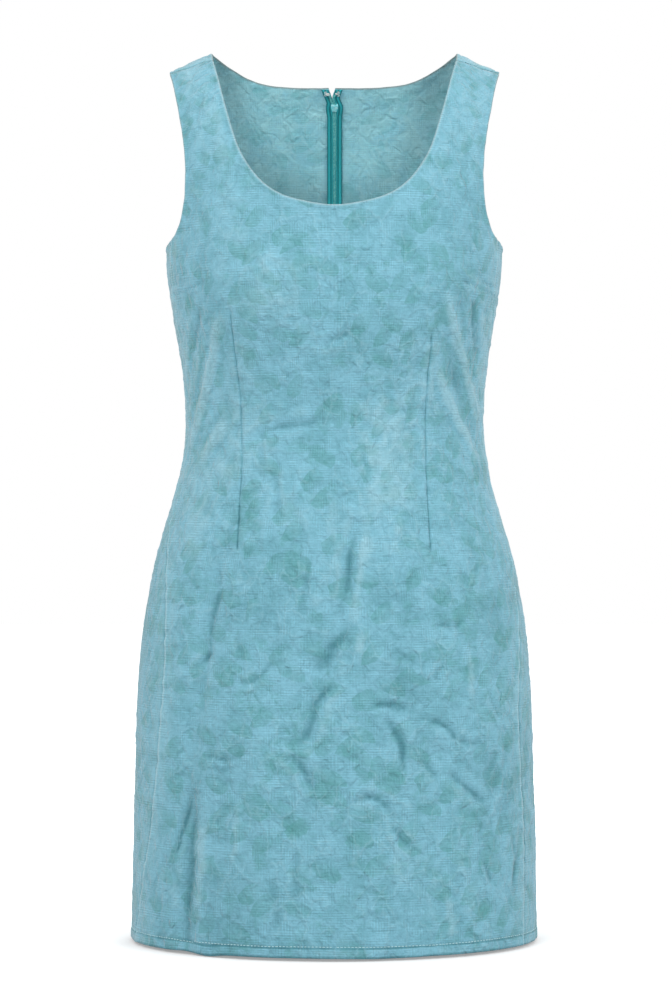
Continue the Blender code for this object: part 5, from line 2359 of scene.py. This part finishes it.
@dataclass
class NeckFastener:
    """A hook and an eye of bent wire above the zip, each sewn on through its two rings."""

    height: float = -0.0294
    lift: float = 0.00305
    place: float = 0.0062
    wire: float = 0.00048
    ring_radius: float = 0.0009
    ring_sweep: float = math.radians(235)
    loop_reach: float = 0.0028
    loop_radius: float = 0.0006
    bend_radius: float = 0.00065
    bill_end: float = 0.0010

    def ring(self) -> list[Place]:
        """Part of a ring of wire. Its end goes out along X."""
        centre = self.ring_radius + self.loop_radius
        angles = np.linspace(-self.ring_sweep, 0, 22) - math.pi / 2
        radius = self.ring_radius
        return [(radius * math.cos(a), centre + radius * math.sin(a), 0.0) for a in angles]

    def path(self, hooked: bool) -> list[Place]:
        """The whole wire of a half.

        Args:
            hooked: Whether its loop bends back on itself, or lies flat.

        Returns:
            The wire's points.
        """
        half_turn = [(math.cos(a), math.sin(a)) for a in np.linspace(math.pi / 2, -math.pi / 2, 14)]
        start = self.ring()
        end = [(x, -y, z) for x, y, z in start[::-1]]
        reach, loop, bend = self.loop_reach, self.loop_radius, self.bend_radius
        if not hooked:
            return start + [(reach - loop + loop * c, loop * s, 0.0) for c, s in half_turn] + end
        out = [(reach + bend * c, loop, bend * (s - 1)) for c, s in half_turn]
        bill = [(self.bill_end - loop * c, loop * s, -2 * bend) for c, s in half_turn]
        return start + out + bill + [(x, -y, z) for x, y, z in out[::-1]] + end

    def build(self, steel: Material, thread: Material) -> None:
        """Makes both halves and the thread that holds them.

        Args:
            steel: The wire's material.
            thread: The thread's material.
        """
        frame = Zip.frame_at(self.height)
        eye_side = 1 if frame[0][0] > 0 else -1
        tacks, tack_faces = [], []
        row = StitchRow("fastener_tacks", radius=0.00022)
        for name, side, hooked in (("neck_eye", eye_side, False), ("neck_hook", -eye_side, True)):
            mirrored = Matrix.Translation((side * self.place, 0, -self.lift))
            mirrored = frame @ mirrored @ Matrix.Diagonal((-side, 1, 1, 1))
            piece = Bench.wire(f"{name}_wire", self.path(hooked), self.wire, 3)
            Bench.finish(piece, mirrored, steel, name, "plated_steel")
            inwards = -np.array(frame.to_3x3() @ Vector((0, 0, 1)))
            for ring in (-1, 1):
                centre = Vector((0, ring * (self.ring_radius + self.loop_radius), 0))
                for angle in (1.9, 2.6, 3.3, 4.0):
                    ray = Vector((math.cos(angle), ring * math.sin(angle), 0))
                    ends = [centre + ray * reach for reach in (0.0002, self.ring_radius + 0.0006)]
                    start, end = (np.array(mirrored @ spot) for spot in ends)
                    first = len(tacks) * row.rings * row.sides
                    tacks.append(row.one(start, end, inwards) + inwards * self.wire * 0.8)
                    tack_faces += [[first + i for i in face] for face in row.faces()]
        piece = new_piece(row.name, tacks, tack_faces)
        piece.data.materials.append(thread)
        sewn(piece)


# ---- stage


@dataclass
class Studio:
    """A pale floor, soft light and the camera."""

    camera_place: Place = (0.00143, -2.70, -0.428)
    lens: float = 101.4
    floor_gap: float = 0.0031
    floor_size: float = 14.0
    sky: float = 0.70
    aim: Place = (0.0, 0.0, -0.42)
    lamps: tuple = (
        ("key_light", (-1.2, -1.7, 1.0), 1.1, 22.5), ("fill_light", (2.1, -1.5, 0.8), 1.6, 28.0),
        ("rear_light", (0.7, 2.4, 0.9), 1.4, 22.0),
    )

    def build(self) -> None:
        """Makes the stage, the lights and the camera."""
        scene = bpy.context.scene
        scene.view_settings.view_transform = "Standard"
        low = CAD_BOX[0][2] - self.floor_gap
        bpy.ops.object.select_all(action="DESELECT")
        bpy.ops.mesh.primitive_plane_add(size=self.floor_size, location=(0, 0, low))
        floor = bpy.context.object
        bpy.ops.object.transform_apply(location=True)
        floor.name = "floor"
        floor.data.materials.append(FloorFinish().material())
        self.light_sky(scene)
        for name, place, size, power in self.lamps:
            lamp = self.lamp(name, size, power)
            lamp.location = place
            aim = Vector(self.aim) - Vector(place)
            lamp.rotation_euler = aim.to_track_quat("-Z", "Y").to_euler()
            scene.collection.objects.link(lamp)
        data = bpy.data.cameras.new("camera")
        data.lens, data.sensor_fit, data.sensor_width = self.lens, "AUTO", 36.0
        camera = bpy.data.objects.new("camera", data)
        camera.location = self.camera_place
        camera.rotation_euler = (math.pi / 2, 0, 0)
        scene.collection.objects.link(camera)
        scene.camera = camera

    def light_sky(self, scene: Scene) -> None:
        """A white sky, dimmer as a light than as a backdrop.

        Args:
            scene: The scene.
        """
        scene.world = bpy.data.worlds.new("sky")
        scene.world.use_nodes = True
        tree = scene.world.node_tree
        backdrop, light = tree.nodes["Background"], tree.nodes.new("ShaderNodeBackground")
        for node, strength in ((backdrop, 1.0), (light, self.sky)):
            node.inputs[0].default_value, node.inputs[1].default_value = (1, 1, 1, 1), strength
        path, mix = (tree.nodes.new(f"ShaderNode{kind}") for kind in ("LightPath", "MixShader"))
        outputs = (path.outputs["Is Camera Ray"], light.outputs[0], backdrop.outputs[0])
        for i, output in enumerate(outputs):
            tree.links.new(output, mix.inputs[i])
        tree.links.new(mix.outputs[0], tree.nodes["World Output"].inputs[0])

    @staticmethod
    def lamp(name: str, size: float, power: float) -> Object:
        """A large soft lamp."""
        data = bpy.data.lights.new(name, "AREA")
        data.size, data.energy = size, power
        return bpy.data.objects.new(name, data)


# ---- the whole dress


@dataclass
class Dress:
    """The dress: three panels, the rows of stitches, the zip and the neck fastener."""

    hem_stitch: float = 0.0095
    front_cut: Pair = (0.425, 0.845)
    front_area: float = 0.275
    back_cut: Pair = (0.290, 0.860)
    back_area: float = 0.205

    def panels(self) -> dict[str, tuple[str, list[HalfPanel]]]:
        """Each panel's piece, with its node and its halves."""
        return {
            "front_cloth": ("front_panel", [HalfPanel(Face.FRONT, side) for side in Side]),
            "back_cloth_left": ("back_panel_left", [HalfPanel(Face.BACK, Side.LEFT)]),
            "back_cloth_right": ("back_panel_right", [HalfPanel(Face.BACK, Side.RIGHT)]),
        }

    def build(self) -> None:
        """Makes every piece."""
        outside = CottonFinish().material()
        # The inside's tints are lighter than the outside's: partly the print's paler reverse, and partly
        # painted light that stands in for the light coming in at the neckline; its shade round the
        # neckline is painted too.
        inside = CottonFinish(
            name="washed_cotton_inside", ground=tint(170, 236, 251), petal=tint(190, 248, 255),
            leaf=tint(139, 217, 224), shade_tint=tint(108, 184, 198), pale=tint(209, 250, 254),
            print_share=0.9, neck_shade=0.37, shade_share=0.5, rib_depth=0.12, thread_depth=0.09,
            slub_depth=0.26, speck_depth=0.22, fold_depth=0.0004, crumple=0.0011,
        ).material()
        thread = ThreadFinish().material()
        pieces, lines, surfaces = {}, [], []
        for name, (node, halves) in self.panels().items():
            cloth = PanelCloth(name, halves)
            pieces[name] = cloth.build(outside, inside)
            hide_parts(node)
            LOG.info("%s: %d faces", name, len(pieces[name].data.polygons))
            surface = cloth.surface()
            lines += [self.hem_line(half) for half in halves]
            surfaces += [surface] * len(halves)
        stitches = StitchRow("hem_stitches").build(lines, surfaces, thread)
        LOG.info("%s: %d faces", stitches.name, len(stitches.data.polygons))
        zipper = Zip()
        tape = TapeFinish().material()
        for side in Side:
            zipper.tape(side, tape)
        zipper.coil(PlasticFinish().material())
        enamel = PaintFinish().material()
        zipper.slider(enamel)
        zipper.pull_tab(enamel)
        NeckFastener().build(SteelFinish().material(), thread)

    def hem_line(self, half: HalfPanel) -> Array:
        """The line of a half panel's hem stitches, on the bare form.

        Args:
            half: The half panel.

        Returns:
            The line's points.
        """
        edges = half.outline()
        turns = np.linspace(edges["bottom"][0][0], edges["bottom"][-1][0], 160)
        runs = np.full(len(turns), FORM.hem_run - self.hem_stitch)
        return half.bare(np.stack([turns, runs], axis=-1))


def main() -> None:
    """Builds the dress, and the studio round it."""
    logging.basicConfig(level=logging.INFO, format="%(name)s: %(message)s")
    Dress().build()
    Studio().build()


if __name__ == "__main__":
    main()
